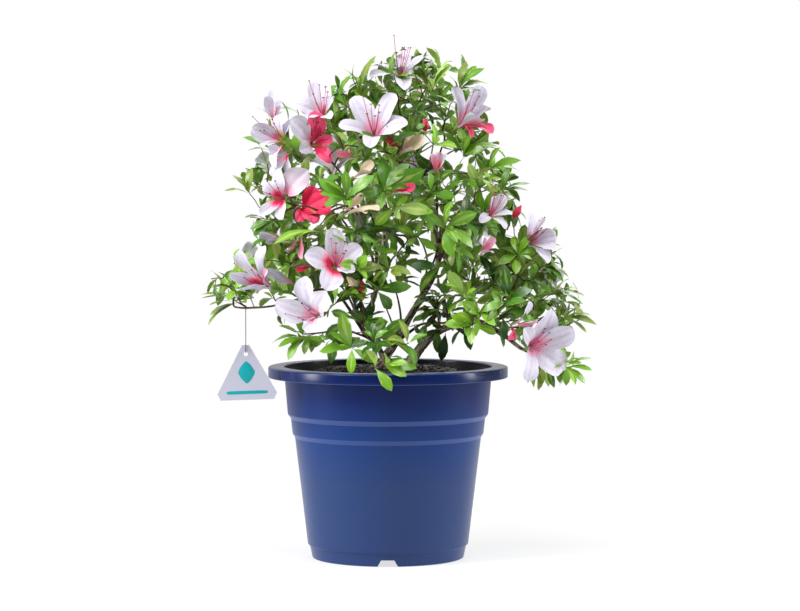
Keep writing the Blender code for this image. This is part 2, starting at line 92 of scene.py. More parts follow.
def colour(red, green, blue):
    # display values 0 to 255 turned into the shader's linear values
    value = np.array([red, green, blue]) / 255.0
    return tuple(np.where(value <= 0.04045, value / 12.92, ((value + 0.055) / 1.055) ** 2.4))


def fillSockets(owner, node, inputs):
    # each input is a value, or another node's output to link
    for name, value in inputs.items():
        if isinstance(value, bpy.types.NodeSocket):
            owner.node_tree.links.new(value, node.inputs[name])
        else:
            node.inputs[name].default_value = value


def addNode(owner, kind, inputs=None, **settings):
    # a new shader node in a material or world
    node = owner.node_tree.nodes.new("ShaderNode" + kind)
    for name, value in settings.items():
        setattr(node, name, value)
    fillSockets(owner, node, inputs or {})
    return node


def makeMaterial(name, base, rough=(0.4, 0.5), grain=400.0, bump=0.1, depth=0.0002, specular=0.5, sheen=0.0):
    # a Principled shader whose roughness runs between two values with a noise, and whose bump is that noise
    material = bpy.data.materials.new(name)
    material.use_nodes = True
    place = addNode(material, "TexCoord")
    noise = addNode(material, "TexNoise", {"Vector": place.outputs["Object"], "Scale": grain, "Detail": 3.0})
    grained = noise.outputs["Fac"]
    spread = addNode(material, "MapRange", {"Value": grained, "To Min": rough[0], "To Max": rough[1]})
    relief = addNode(material, "Bump", {"Height": grained, "Strength": bump, "Distance": depth})
    fillSockets(material, material.node_tree.nodes["Principled BSDF"], {
        "Base Color": (*base, 1.0),
        "Specular IOR Level": specular,
        "Sheen Weight": sheen,
        "Roughness": spread.outputs["Result"],
        "Normal": relief.outputs["Normal"],
    })
    return material


def blendColours(material, source, stops):
    # base colour taken from a colour ramp: stops are (position, colour), source an output socket
    ramp = addNode(material, "ValToRGB", {"Fac": source})
    while len(ramp.color_ramp.elements) < len(stops):
        ramp.color_ramp.elements.new(0.5)
    for element, (position, tint) in zip(ramp.color_ramp.elements, stops):
        element.position = position
        element.color = (*colour(*tint), 1.0)
    shader = material.node_tree.nodes["Principled BSDF"]
    fillSockets(material, shader, {"Base Color": ramp.outputs["Color"]})


def noiseInto(material, noise, weight, added):
    # weight * noise + added, as an output socket
    inputs = {0: noise.outputs["Fac"], 1: weight, 2: added}
    return addNode(material, "Math", inputs, operation="MULTIPLY_ADD").outputs[0]


def addObject(name, mesh):
    thing = bpy.data.objects.new(name, mesh)
    bpy.context.scene.collection.objects.link(thing)
    return thing


def ringFaces(tubes, stations, sides):
    # four-cornered faces between neighbouring rings, and one flat face on each end, all pointing outwards
    start = np.arange(tubes)[:, None, None] * stations * sides
    ring = np.arange(stations - 1)[None, :, None] * sides
    side = np.arange(sides)[None, None, :]
    here = start + ring + side
    beside = start + ring + (side + 1) % sides
    walls = np.stack([here, beside, beside + sides, here + sides], -1).reshape(-1, 4)
    foot = start[:, 0] + side[0, :, ::-1]
    tip = start[:, 0] + (stations - 1) * sides + side[0]
    return walls, foot, tip


def makePiece(name, shape, materials, paint=None, sharp=50.0, body="plant", relief=None):
    # shape is points (n, 3) and a list of face arrays, one row of corners for each face; paint says which
    # material each face has; edges turned by more than sharp degrees stay sharp
    points, faces = shape
    loops = np.concatenate([part.ravel() for part in faces]).astype(np.int32)
    sizes = np.concatenate([np.full(len(part), part.shape[1]) for part in faces])
    mesh = bpy.data.meshes.new(name)
    mesh.vertices.add(len(points))
    mesh.vertices.foreach_set("co", np.ascontiguousarray(points, np.float32).ravel())
    mesh.loops.add(len(loops))
    mesh.loops.foreach_set("vertex_index", loops)
    mesh.polygons.add(len(sizes))
    mesh.polygons.foreach_set("loop_start", (np.cumsum(sizes) - sizes).astype(np.int32))
    if paint is not None:
        mesh.polygons.foreach_set("material_index", paint.astype(np.int32))
    mesh.update(calc_edges=True)
    for material in materials:
        mesh.materials.append(material)
    if relief is not None:
        layer = mesh.attributes.new("relief", "FLOAT", "POINT")
        layer.data.foreach_set("value", np.asarray(relief, np.float32).ravel())
    mesh.shade_smooth()
    mesh.set_sharp_from_angle(angle=math.radians(sharp))
    piece = addObject(name, mesh)
    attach(piece, body)
    print(f"{name}: {len(sizes)} faces, depth {points[:, 1].min():.4f} to {points[:, 1].max():.4f}")
    return piece


def joinRings(*batches):
    # several (tubes, stations, sides, 3) arrays put into one list of points and faces
    points, faces, first = [], [], 0
    for rings in batches:
        tubes, stations, sides = rings.shape[:3]
        points.append(rings.reshape(-1, 3))
        faces += [part + first for part in ringFaces(tubes, stations, sides)]
        first += tubes * stations * sides
    return np.concatenate(points), faces


def runAlong(path):
    # the distance walked along a path, at each of its points
    return np.concatenate([[0], np.cumsum(np.linalg.norm(np.diff(path, axis=0), axis=1))])


def smoothPath(points, spacing, perSpan=40):
    # a Catmull-Rom curve through the points, then walked at an even spacing
    points = np.asarray(points, float)
    ends = np.concatenate([[2 * points[0] - points[1]], points, [2 * points[-1] - points[-2]]])
    t = np.linspace(0, 1, perSpan, endpoint=False)[:, None]
    spans = []
    for i in range(len(points) - 1):
        a, b, c, d = ends[i : i + 4]
        curve = 2 * b + (c - a) * t + (2 * a - 5 * b + 4 * c - d) * t**2
        spans.append(0.5 * (curve + (3 * b - a - 3 * c + d) * t**3))
    fine = np.concatenate(spans + [points[-1:]])
    run = runAlong(fine)
    walk = np.linspace(0, run[-1], max(4, int(run[-1] / spacing) + 1))
    return np.stack([np.interp(walk, run, fine[:, k]) for k in range(3)], -1), walk


def pathFrames(path):
    # two directions across paths (..., stations, 3), square to each other, that don't twist
    heading = unit(np.gradient(path, axis=-2))
    whole = path - path.mean(-2, keepdims=True)
    flat = np.linalg.svd(whole, full_matrices=True)[2][..., 2:3, :]
    across = unit(np.cross(flat, heading))
    return across, np.cross(heading, across)


print("kit ready")

# the camera, the room's light and the soft boxes
lighting = {
    "slope": (-0.15, 0.62, 0.77),  # the room brightens this way, from before the pot to high behind it
    "slopeEnds": (-0.6, 0.75),
    "room": (0.13, 0.72),  # its light at those ends
    "boxes": [  # place, aimed at, width, height, watts
        ((-1.25, -0.9, 1.5), (0, 0, 0.30), 0.6, 0.6, 23.0),
        ((-1.7, -0.45, 0.45), (0, 0, 0.15), 0.4, 0.9, 17.0),
        ((1.7, -0.1, 0.55), (0, 0, 0.15), 0.45, 1.0, 20.0),
        ((0.1, -0.95, 2.0), (0, 0, 0.15), 0.9, 0.7, 17.0),
        ((0.3, 1.6, 1.5), (0, 0, 0.3), 0.9, 0.9, 10.0),
    ],
}


def makeStudio():
    scene = bpy.context.scene
    lens = bpy.data.cameras.new("camera")
    lens.lens, lens.sensor_width, lens.clip_start = camera["lens"], camera["sensor"], camera["nearest"]
    view = addObject("camera", lens)
    view.location = camera["place"]
    view.rotation_euler = (math.radians(90 - camera["pitch"]), 0, 0)
    scene.camera = view
    for i, (place, target, width, height, watts) in enumerate(lighting["boxes"]):
        lamp = bpy.data.lights.new(f"softbox{i}", "AREA")
        lamp.shape, lamp.size, lamp.size_y, lamp.energy = "RECTANGLE", width, height, watts
        box = addObject(lamp.name, lamp)
        box.location = place
        box.rotation_euler = (Vector(target) - Vector(place)).to_track_quat("-Z", "Y").to_euler()
        box.visible_camera = False
    world = bpy.data.worlds.new("studio")
    scene.world = world
    world.use_nodes = True
    way = addNode(world, "NewGeometry").outputs["Position"]
    slope = addNode(world, "VectorMath", operation="DOT_PRODUCT")
    fillSockets(world, slope, {0: way, 1: lighting["slope"]})
    strength = addNode(world, "MapRange", {
        "Value": slope.outputs["Value"],
        "From Min": lighting["slopeEnds"][0],
        "From Max": lighting["slopeEnds"][1],
        "To Min": lighting["room"][0],
        "To Max": lighting["room"][1],
    })
    background = world.node_tree.nodes["Background"]
    fillSockets(world, background, {"Strength": strength.outputs["Result"], "Color": (1, 1, 1, 1)})
    scene.view_settings.view_transform = "Standard"


stage = {
    "sides": 96,
    "rings": (0.0001, 0.2, 0.4, 0.6, 0.9),
    "floorHeight": -0.0002,
    "nearRadius": 0.35,
    "farRadius": 0.85,
    "ground": (0.86, 0.86, 0.87),
    "groundRough": 0.9,
    "groundSpecular": 0.1,
    "glow": 0.7,  # how much of the floor under the pot is plain white
    "wallRadius": 9.0,
    "wallRings": 33,
    "wallPole": 0.001,  # radians left open at the shell's two poles
}


def glowing(name):
    # a material that shows as plain white, and its light
    material = bpy.data.materials.new(name)
    material.use_nodes = True
    light = addNode(material, "Emission", {"Strength": 1.0}).outputs[0]
    fillSockets(material, material.node_tree.nodes["Material Output"], {"Surface": light})
    return material, light


def makeStage():
    # a round floor: pale and matt under the pot, running out into plain white; a white shell far around it
    turn = np.linspace(0, fullTurn, stage["sides"] + 1)[:-1]
    radii = np.array(stage["rings"])[:, None]
    level = np.full((len(radii), len(turn)), stage["floorHeight"])
    disc = np.stack([radii * np.cos(turn), radii * np.sin(turn), level], -1)
    pole = math.pi / 2 - stage["wallPole"]
    tilt = np.linspace(-pole, pole, stage["wallRings"])[:, None]
    around = [np.cos(tilt) * np.cos(turn), np.cos(tilt) * np.sin(turn), np.sin(tilt) + 0 * turn]
    shell = stage["wallRadius"] * np.stack(around, -1)
    floorPaint, light = glowing("floor")
    place = addNode(floorPaint, "TexCoord").outputs["Object"]
    reach = addNode(floorPaint, "VectorMath", operation="LENGTH")
    fillSockets(floorPaint, reach, {0: place})
    fade = addNode(floorPaint, "MapRange", {
        "Value": reach.outputs["Value"],
        "From Min": stage["nearRadius"],
        "From Max": stage["farRadius"],
        "To Min": stage["glow"],
    }, interpolation_type="SMOOTHSTEP")
    shader = floorPaint.node_tree.nodes["Principled BSDF"]
    fillSockets(floorPaint, shader, {
        "Base Color": (*stage["ground"], 1),
        "Roughness": stage["groundRough"],
        "Specular IOR Level": stage["groundSpecular"],
    })
    mixed = {"Fac": fade.outputs["Result"], 1: shader.outputs["BSDF"], 2: light}
    mixed = addNode(floorPaint, "MixShader", mixed).outputs[0]
    fillSockets(floorPaint, floorPaint.node_tree.nodes["Material Output"], {"Surface": mixed})
    for name, grid, material in (("floor", disc, floorPaint), ("backdrop", shell, glowing("backdrop")[0])):
        walls = ringFaces(1, len(grid), stage["sides"])[0]
        mesh = bpy.data.meshes.new(name)
        mesh.from_pydata(grid.reshape(-1, 3).tolist(), [], walls.tolist())
        mesh.materials.append(material)
        piece = addObject(name, mesh)
        if name == "backdrop":
            piece.visible_diffuse = piece.visible_glossy = piece.visible_shadow = False
            piece.visible_transmission = False


makeStudio()
makeStage()
print("studio ready")

# the pot, turned from one profile, with its drain holes and foot notches cut out
pot = {
    "height": 0.176,
    "wall": 0.002,
    "rimRadius": 0.110,
    "rimBand": 0.010,
    "rimInner": 0.0955,
    "rimRounding": 0.0013,
    "rimSlope": (0.0030, 0.0006),  # the rim's top falls this much over this last width
    "lip": (0.0002, 0.003),  # the inner lip leans in by this much over this height
    "hollow": 1.2,  # walls' thickness left over the groove under the rim
    "wallTop": 0.0950,
    "steps": [  # height, radius above, radius below, fall
        (0.1320, 0.0921, 0.0893, 0.0037),
        (0.1142, 0.0877, 0.0855, 0.0034),
        (0.0124, 0.0738, 0.0720, 0.0008),
    ],
    "footRadius": 0.0696,
    "footRing": 0.004,
    "floorHeight": 0.006,
    "padRadius": 0.012,
    "middle": 0.0004,  # the profile stops this far from the axis, and a flat face closes it
    "holes": 6,
    "holeRadius": 0.0055,
    "holeCircle": 0.045,
    "holeSides": 24,
    "holeDepths": (-0.003, 0.006),  # about the floor's underside
    "notches": (-90, 30, 150),
    "notchWidths": (0.0186, 0.0118),  # at the table and at the floor
    "notchReach": (0.060, 0.080),
    "cutterBelow": 0.004,  # how far the notch cutters stand below the table
    "segments": 240,
    "insideRows": 42,  # rows of faces up the inside, painted near black as shade
    "seams": (-151.5, -21.5),  # degrees round the rim
    "seamWidth": 0.0006,
    "seamDepth": 0.00025,
    "seamFace": 0.0015,  # the seam marks only this depth of the rim's outside
    "ledgeMargin": (0.0003, 0.0004),
    "highlightEdge": (0.0009, 0.0007),  # depth and height of the rim's rounded edges, painted pale as a highlight
    "sharpAngle": 38,
}


def roundedProfile(corners):
    # a profile through (radius, height, rounding) corners, each replaced by a short bend of that rounding:
    # (1 - t)^2 * enter + 2 t (1 - t) * corner + t^2 * leave
    points = np.array([corner[:2] for corner in corners])
    rounding = np.array([corner[2] for corner in corners])
    before = points - np.roll(points, 1, 0)
    after = np.roll(points, -1, 0) - points
    longIn, longOut = np.linalg.norm(before, axis=1), np.linalg.norm(after, axis=1)
    reach = np.minimum(rounding, 0.45 * np.minimum(longIn, longOut))[:, None]
    enter = points - before / longIn[:, None] * reach
    leave = points + after / longOut[:, None] * reach
    t = np.linspace(0, 1, 5)[:, None, None]
    bends = (1 - t) ** 2 * enter + 2 * t * (1 - t) * points + t**2 * leave
    bends = bends.transpose(1, 0, 2)
    return np.concatenate([bend if r > 0 else bend[2:3] for bend, r in zip(bends, rounding)])


def potCorners():
    # (radius, height, rounding): from the middle of the floor up the inside, over the rim, down the wall and
    # back to the middle under the floor
    top, thin, base, rim = pot["height"], pot["wall"], pot["floorHeight"], pot["rimRadius"]
    under = top - pot["rimBand"]
    groove = top - pot["hollow"] * thin
    outer = [
        (pot["rimInner"], top, 0.0012),
        (rim - pot["rimSlope"][0], top, 0.0010),
        (rim, top - pot["rimSlope"][1], pot["rimRounding"]),
        (rim, under, 0.0006),
        (rim - thin, under, 0.0005),
        (rim - thin, groove, 0.0005),
        (pot["wallTop"] + thin / 2, groove, 0.0005),
        (pot["wallTop"], under, 0.0),
    ]
    inner = [(pot["wallTop"] - thin, under, 0.0)]
    for height, above, below, fall in pot["steps"]:
        outer += [(above, height, 0.0008), (below, height - fall, 0.0008)]
        inner += [(above - thin, height, 0.0009), (below - thin, height - fall, 0.0006)]
    inner += [(pot["footRadius"] - thin / 2, base + thin, 0.002), (pot["middle"], base + thin, 0.0)]
    foot = [
        (pot["footRadius"], 0.0, 0.0009),
        (pot["footRadius"] - pot["footRing"], 0.0, 0.0008),
        (pot["footRadius"] - pot["footRing"], base, 0.0006),
        (pot["padRadius"], base, 0.0006),
        (pot["padRadius"], 0.0, 0.0008),
        (pot["middle"], 0.0, 0.0),
    ]
    return inner[::-1] + [(pot["rimInner"] - pot["lip"][0], top - pot["lip"][1], 0.001)] + outer + foot


def potCutters():
    # upright prisms, each a ring at the foot and a ring at the top: round ones for the drain holes and
    # four-sided ones, narrower upwards, for the notches
    base, cutters = pot["floorHeight"], []
    side = np.linspace(0, fullTurn, pot["holeSides"], endpoint=False)
    for i in range(pot["holes"]):
        angle = fullTurn * (i + 0.5) / pot["holes"]
        centre = pot["holeCircle"] * np.array([math.cos(angle), math.sin(angle)])
        hole = centre + pot["holeRadius"] * np.stack([np.cos(side), np.sin(side)], -1)
        cutters.append([np.c_[hole, np.full(len(hole), base + offset)] for offset in pot["holeDepths"]])
    near, far = pot["notchReach"]
    wide, narrow = pot["notchWidths"]
    wider = 0.5 * (wide - narrow) / base * pot["cutterBelow"]
    for degrees in pot["notches"]:
        out = np.array([math.cos(math.radians(degrees)), math.sin(math.radians(degrees))])
        aside = np.array([-out[1], out[0]])
        rings = []
        for width, more, height in ((wide, wider, -pot["cutterBelow"]), (narrow, 0.0, base)):
            corners = ((near, -1), (far, -1), (far, 1), (near, 1))
            ring = np.array([r * out + s * (0.5 * width + more) * aside for r, s in corners])
            rings.append(np.c_[ring, np.full(4, height)])
        cutters.append(rings)
    return [np.array(rings)[None] for rings in cutters]


def potPaint(profile):
    # material of each row of faces down the profile: 1 inside painted near black as shade, 2 glossy rim
    # painted darker as shade, 3 ledges and rim edges painted pale as highlights, 0 plain plastic
    radius, height = (0.5 * (profile[1:] + profile[:-1])).T
    within = np.arange(len(radius)) < pot["insideRows"]
    rimFoot = pot["height"] - pot["rimBand"]
    # the rim's rows get a glossier copy of the plastic, painted darker as shade
    paint = np.where(height > rimFoot - 0.0002, 2, 0)
    tall, deep = pot["ledgeMargin"]
    # the ledges' rows are painted pale as a highlight
    for level, _, below, fall in pot["steps"][:2]:
        ledge = (np.abs(height - level + fall / 2) < fall / 2 + tall) & (radius > below - deep)
        paint[ledge] = 3
    # the rim's rounded outer edges are painted pale as a highlight
    fromEdge = np.minimum(pot["height"] - height, height - rimFoot)
    deep, tall = pot["highlightEdge"]
    paint[(radius > pot["rimRadius"] - deep) & (np.abs(fromEdge) < tall)] = 3
    # the inside rows are painted near black as shade
    paint[within] = 1
    return paint


def makePot(materials):
    # each point of the profile is turned round the axis: (r cos, r sin, height); the rim's seams are shallow
    # dips in its outer face, depth * exp(-(distance / half width)^2)
    profile = roundedProfile(potCorners())
    around = np.linspace(0, fullTurn, pot["segments"], endpoint=False)
    seams = np.radians(pot["seams"])
    extra = (seams[:, None] + np.linspace(-1, 1, 7) * pot["seamWidth"] / pot["rimRadius"]).ravel() % fullTurn
    around = np.sort(np.concatenate([around, extra]))
    turn = np.abs((around[:, None] - seams + math.pi) % fullTurn - math.pi).min(1) * pot["rimRadius"]
    dip = pot["seamDepth"] * np.exp(-((turn / (0.5 * pot["seamWidth"])) ** 2))
    radius, height = profile[:, :1], profile[:, 1:]
    radius = radius - dip * (radius > pot["rimRadius"] - pot["seamFace"])
    height = np.broadcast_to(height, radius.shape)
    grid = np.stack([radius * np.cos(around), radius * np.sin(around), height], -1)
    rows, columns = grid.shape[:2]
    # the profile runs up the inside and down the outside, so the rings' faces are turned over
    walls, foot, tip = ringFaces(1, rows, columns)
    faces = [walls[:, [0, 3, 2, 1]], foot[:, ::-1], tip[:, ::-1]]
    paint = np.concatenate([potPaint(profile).repeat(columns), [1, 0]])
    shape = grid.reshape(-1, 3), faces
    piece = makePiece("pot_shell", shape, materials, paint)
    cutters = []
    for i, rings in enumerate(potCutters()):
        mesh = bpy.data.meshes.new(f"cutter{i}")
        points, faces = joinRings(rings)
        mesh.from_pydata(points.tolist(), [], sum((part.tolist() for part in faces), []))
        cutters.append(addObject(mesh.name, mesh))
        modifier = piece.modifiers.new(mesh.name, "BOOLEAN")
        modifier.operation, modifier.solver, modifier.object = "DIFFERENCE", "EXACT", cutters[-1]
    cut = piece.evaluated_get(bpy.context.evaluated_depsgraph_get())
    mesh = bpy.data.meshes.new_from_object(cut)
    piece.modifiers.clear()
    piece.data = mesh
    mesh.shade_smooth()
    mesh.set_sharp_from_angle(angle=math.radians(pot["sharpAngle"]))
    for cutter in cutters:
        bpy.data.objects.remove(cutter)
    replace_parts(piece, "pot")


plastic = {
    "grain": 900.0,
    "streaks": (16.0, 4.0, 0.6),  # scale, detail and distortion of the faint clouds
    "streakWeight": 0.30,
    "fade": (0.152, 0.070),  # it grows paler downwards between these heights: painted shade under the rim, painted light lower down
    "fadeWeight": 0.75,
    "tones": [(0.12, (0, 30, 94)), (0.5, (18, 54, 116)), (0.92, (40, 62, 109))],
}


def potMaterials():
    # navy moulded plastic with a fine grain and faint cloudy streaks, darker up under the rim and paler
    # towards the foot as painted shade and light;
    # the inside painted near black as shade; the glossier rim, painted darker as shade; and the ledges and
    # rim edges painted pale as highlights
    grain = plastic["grain"]
    material = makeMaterial("pot plastic", colour(40, 58, 122), (0.27, 0.37), grain, 0.05, 0.0001, 0.2)
    place = addNode(material, "TexCoord").outputs["Object"]
    scale, detail, distortion = plastic["streaks"]
    cloud = {"Vector": place, "Scale": scale, "Detail": detail, "Distortion": distortion}
    cloud = addNode(material, "TexNoise", cloud)
    height = addNode(material, "SeparateXYZ", {0: place}).outputs["Z"]
    # the height fade darkens the upper wall as painted shade under the rim and pales the lower wall as
    # painted light
    low, high = plastic["fade"]
    level = {"Value": height, "From Min": low, "From Max": high, "To Max": plastic["fadeWeight"]}
    level = addNode(material, "MapRange", level).outputs["Result"]
    blendColours(material, noiseInto(material, cloud, plastic["streakWeight"], level), plastic["tones"])
    return [
        material,
        # the inside walls: plastic painted near black as shade
        makeMaterial("inside painted shade", colour(2, 4, 10), (0.22, 0.6), 260.0, 0.35, 0.0004, 0.12),
        # the rim: the same plastic painted darker as shade, and glossier
        makeMaterial("rim plastic painted shade", colour(0, 26, 82), (0.2, 0.28), grain, 0.04, 0.0001, 0.34),
        # ledges and rim edges: plastic painted pale as highlights
        makeMaterial("ledge painted highlight", colour(50, 76, 136), (0.3, 0.45), 700.0, 0.06, 0.0001, 0.3),
    ]


makePot(potMaterials())
print("pot ready")

# damp soil with loose grains and chips on it
soil = {
    "flatHeight": 0.1745,
    "flatRadius": 0.050,
    "edgeHeight": 0.1645,
    "edgeRadius": 0.0932,
    "underside": 0.004,  # below the edge
    "lumps": [(110, 3, 0.0022, 0.75), (330, 4, 0.0014, 0.6)],  # lumps a metre, seed, height, share below 0
    "sides": 180,
    "rings": 74,
    "grains": 1100,
    "grainSize": (0.0006, 0.0019),
    "grainFlat": 0.6,
    "grainSides": 6,
    "grainRings": (-0.95, -0.3, 0.4, 0.97),
    "grainUneven": (0.65, 1.2),
    "seed": 11,
    "chips": {"dark chip": (6, 5, 5), "brown chip": (14, 11, 10), "grey chip": (28, 27, 27)},
    "tones": [(0.3, (3, 3, 3)), (0.55, (7, 6, 6)), (0.8, (18, 15, 14))],
}


def soilHeight(x, y):
    # level in the middle, falling to the wall by 3t^2 - 2t^3, with two sizes of lumps
    t = (np.hypot(x, y) - soil["flatRadius"]) / (soil["edgeRadius"] - soil["flatRadius"])
    t = np.clip(t, 0, 1)
    height = soil["flatHeight"] - (soil["flatHeight"] - soil["edgeHeight"]) * t * t * (3 - 2 * t)
    place = np.stack([x, y, 0 * x], -1)
    for fine, seed, high, low in soil["lumps"]:
        height = height + high * (latticeNoise(place * fine, seed) - low)
    return height


def makeSoil():
    # a disc of rings under soilHeight, closed by a flat underside; each grain is a squashed uneven ball of
    # four rings: (sqrt(1 - t^2) cos, sqrt(1 - t^2) sin, t) times its size
    turn = np.linspace(0, fullTurn, soil["sides"] + 1)[:-1]
    radii = np.linspace(0.0004, soil["edgeRadius"], soil["rings"])[::-1, None]
    x, y = radii * np.cos(turn), radii * np.sin(turn)
    top = np.stack([x, y, soilHeight(x, y)], -1)
    under = np.stack([x[:1], y[:1], np.full((1, len(turn)), soil["edgeHeight"] - soil["underside"])], -1)
    # damp dark compost: near black, glossy only in its wet hollows
    damp = makeMaterial("damp soil", colour(26, 22, 21), (0.35, 0.95), 700.0, 0.8, 0.0006, 0.5)
    blendColours(damp, damp.node_tree.nodes["Noise Texture"].outputs["Fac"], soil["tones"])
    makePiece("soil_bed", joinRings(np.concatenate([under, top])[None]), [damp], sharp=80)
    dice = np.random.default_rng(soil["seed"])
    count, sides, tilt = soil["grains"], soil["grainSides"], np.array(soil["grainRings"])[:, None]
    radius = soil["edgeRadius"] * 0.97 * np.sqrt(dice.uniform(0.01, 1, count))
    angle = dice.uniform(0, fullTurn, count)
    x, y = radius * np.cos(angle), radius * np.sin(angle)
    centre = np.stack([x, y, soilHeight(x, y) + 0.0002], -1)
    size = dice.uniform(*soil["grainSize"], (count, 3)) * np.array([1.0, 1.0, soil["grainFlat"]])
    side = np.linspace(0, fullTurn, sides, endpoint=False) + dice.uniform(0, 1, (count, 1, 1))
    wide = np.sqrt(1 - tilt**2) * dice.uniform(*soil["grainUneven"], (count, len(tilt), sides))
    lump = np.stack([wide * np.cos(side), wide * np.sin(side), np.broadcast_to(tilt, wide.shape)], -1)
    pick = dice.integers(0, len(soil["chips"]), count)
    paint = np.concatenate([pick.repeat((len(tilt) - 1) * sides), pick, pick])
    chips = [
        makeMaterial(name, colour(*tint), (0.6, 0.95), 900.0, 0.5) for name, tint in soil["chips"].items()
    ]
    grains = joinRings(centre[:, None, None] + lump * size[:, None, None])
    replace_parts(makePiece("soil_grains", grains, chips, paint, sharp=30), "soil")


makeSoil()
print("soil ready")

# stems: way points, radii at the foot, above the flare and at the tip, and the leaf mass that each feeds
stems = {
    "trunk_middle": ([(-3, 0, 174.5), (-2.5, 0, 184), (4.6, 1, 194.1), (11, 3, 205.4), (28.4, 10, 234.6),
        (43.1, 18, 260.3), (46.8, 22, 282.3), (40.3, 20, 314.4), (30.2, 12, 351)], (6.6, 4.3, 1.3),
        "crown_top"),
    "trunk_left": ([(-3, 0, 180), (-11, -2, 196.9), (-21.5, -4, 206), (-23.4, -6, 218.9), (-12.9, -10, 238),
        (-9.2, -10, 260.3), (-3.7, -6, 296.1), (-12, -6, 335)], (3.2, 2.7, 1.2), "crown_top_left"),
    "trunk_right": ([(21.1, 0, 174.5), (22.5, 0, 182), (34.6, 1, 197.8), (47.7, 3, 207.9), (63.3, 6, 213.4),
        (84.4, 8, 216), (104.7, 6, 205.2), (124, -4, 191.4)], (7.0, 5.4, 1.1), "low_right_tip"),
}

# boughs: the stem and how far along it they leave, way points, the mass that each feeds, radii at both ends
boughs = {
    "bough_upper_left": ("trunk_left", 0.615, [(-40, -4, 348)], "upper_left", (1.5, 1.0)),
    "bough_mid_left": ("trunk_left", 0.49, [(-40, -8, 308), (-63, -10, 320)], "mid_left", (1.5, 0.9)),
    "bough_left": ("trunk_left", 0.273, [(-45, -12, 262)], "left", (1.4, 0.9)),
    "bough_left_tip": ("trunk_left", 0.205, [(-45, -24, 242), (-63.9, -36, 247.3), (-78.9, -47, 240),
        (-101.9, -58, 234), (-120.1, -60, 232.3), (-133, -60, 232.3), (-138.5, -58, 236)], "left_tip",
        (1.6, 0.9)),
    "bough_low_left": ("trunk_left", 0.154, [(-41, -14, 210), (-60, -28, 208)], "low_left_tip", (1.3, 0.8)),
    "bough_over_rim": ("trunk_left", 0.089, [(-17, -34, 208)], "over_rim", (1.4, 0.9)),
    "bough_low_front": ("trunk_left", 0.244, [(-26, -32, 248)], "low_front", (1.4, 0.9)),
    "bough_mid_front": ("trunk_left", 0.523, [(-14, -32, 312)], "mid_front", (1.4, 0.9)),
    "bough_back_left": ("trunk_left", 0.54, [(-30, 35, 316)], "back_left", (1.5, 0.9)),
    "bough_back_low_left": ("trunk_left", 0.224, [(-42, 28, 246)], "back_low_left", (1.4, 0.9)),
    "bough_back_centre": ("trunk_left", 0.423, [(-2, 45, 298)], "back_centre", (1.4, 0.9)),
    "bough_upper_centre": ("trunk_middle", 0.652, [(30, -20, 352)], "upper_centre", (1.4, 0.9)),
    "bough_centre_right": ("trunk_middle", 0.371, [(46, -16, 286)], "centre_right", (1.5, 0.9)),
    "bough_right": ("trunk_middle", 0.491, [(66, 10, 312)], "right", (1.5, 0.9)),
    "bough_upper_right": ("trunk_middle", 0.708, [(48, 8, 372)], "upper_right", (1.4, 0.9)),
    "bough_back_top": ("trunk_middle", 0.667, [(18, 45, 362)], "back_top", (1.5, 0.9)),
    "bough_back_right": ("trunk_middle", 0.513, [(56, 52, 314)], "back_right", (1.5, 0.9)),
    "bough_low_right": ("trunk_middle", 0.129, [(23, -3, 209.5), (30.3, -7, 214.3), (39.4, -14, 216.1),
        (56, -28, 217.5)], "low_right", (1.6, 0.9)),
    "bough_inner_right": ("trunk_right", 0.359, [(74, 22, 226)], "inner_right", (1.5, 0.9)),
    "bough_right_shoulder": ("trunk_right", 0.486, [(108, 2, 240)], "right_shoulder", (1.4, 0.9)),
    "bough_right_tip": ("trunk_right", 0.589, [(116, 3, 211)], "right_tip", (1.2, 0.8)),
    "bough_back_low_right": ("trunk_right", 0.437, [(98, 40, 228)], "back_low_right", (1.4, 0.9)),
}

# leaf masses: centre, half widths
masses = {
    "crown_top": ((22, 0, 430), (60, 56, 36)),
    "crown_top_left": ((-34, -15, 408), (34, 46, 32)),
    "upper_left": ((-84, 0, 392), (46, 50, 42)),
    "mid_left": ((-109, -10, 334), (38, 44, 34)),
    "upper_right": ((76, 5, 400), (34, 50, 44)),
    "upper_centre": ((9, -66, 366), (46, 34, 32)),
    "mid_front": ((-35, -82, 324), (42, 34, 34)),
    "low_front": ((-32, -74, 277), (42, 34, 28)),
    "left": ((-88, -10, 287), (34, 44, 28)),
    "left_tip": ((-134, -55, 262), (31, 30, 28)),
    "low_left_tip": ((-79, -40, 207), (26, 26, 14)),
    "over_rim": ((-14, -88, 201), (42, 24, 22)),
    "centre_right": ((47, -62, 315), (40, 38, 40)),
    "right": ((100, 0, 331), (36, 50, 38)),
    "right_shoulder": ((130, -10, 277), (34, 52, 34)),
    "inner_right": ((80, 40, 262), (28, 42, 30)),
    "low_right": ((94, -56, 230), (42, 34, 24)),
    "right_tip": ((154, 0, 223), (34, 48, 26)),
    "low_right_tip": ((157, -20, 181), (30, 28, 22)),
    "back_top": ((-3, 80, 392), (56, 40, 44)),
    "back_left": ((-76, 80, 327), (44, 44, 44)),
    "back_right": ((77, 85, 329), (46, 42, 44)),
    "back_centre": ((1, 108, 322), (36, 32, 42)),
    "back_low_left": ((-80, 72, 269), (42, 46, 26)),
    "back_low_right": ((126, 78, 252), (40, 44, 32)),
}

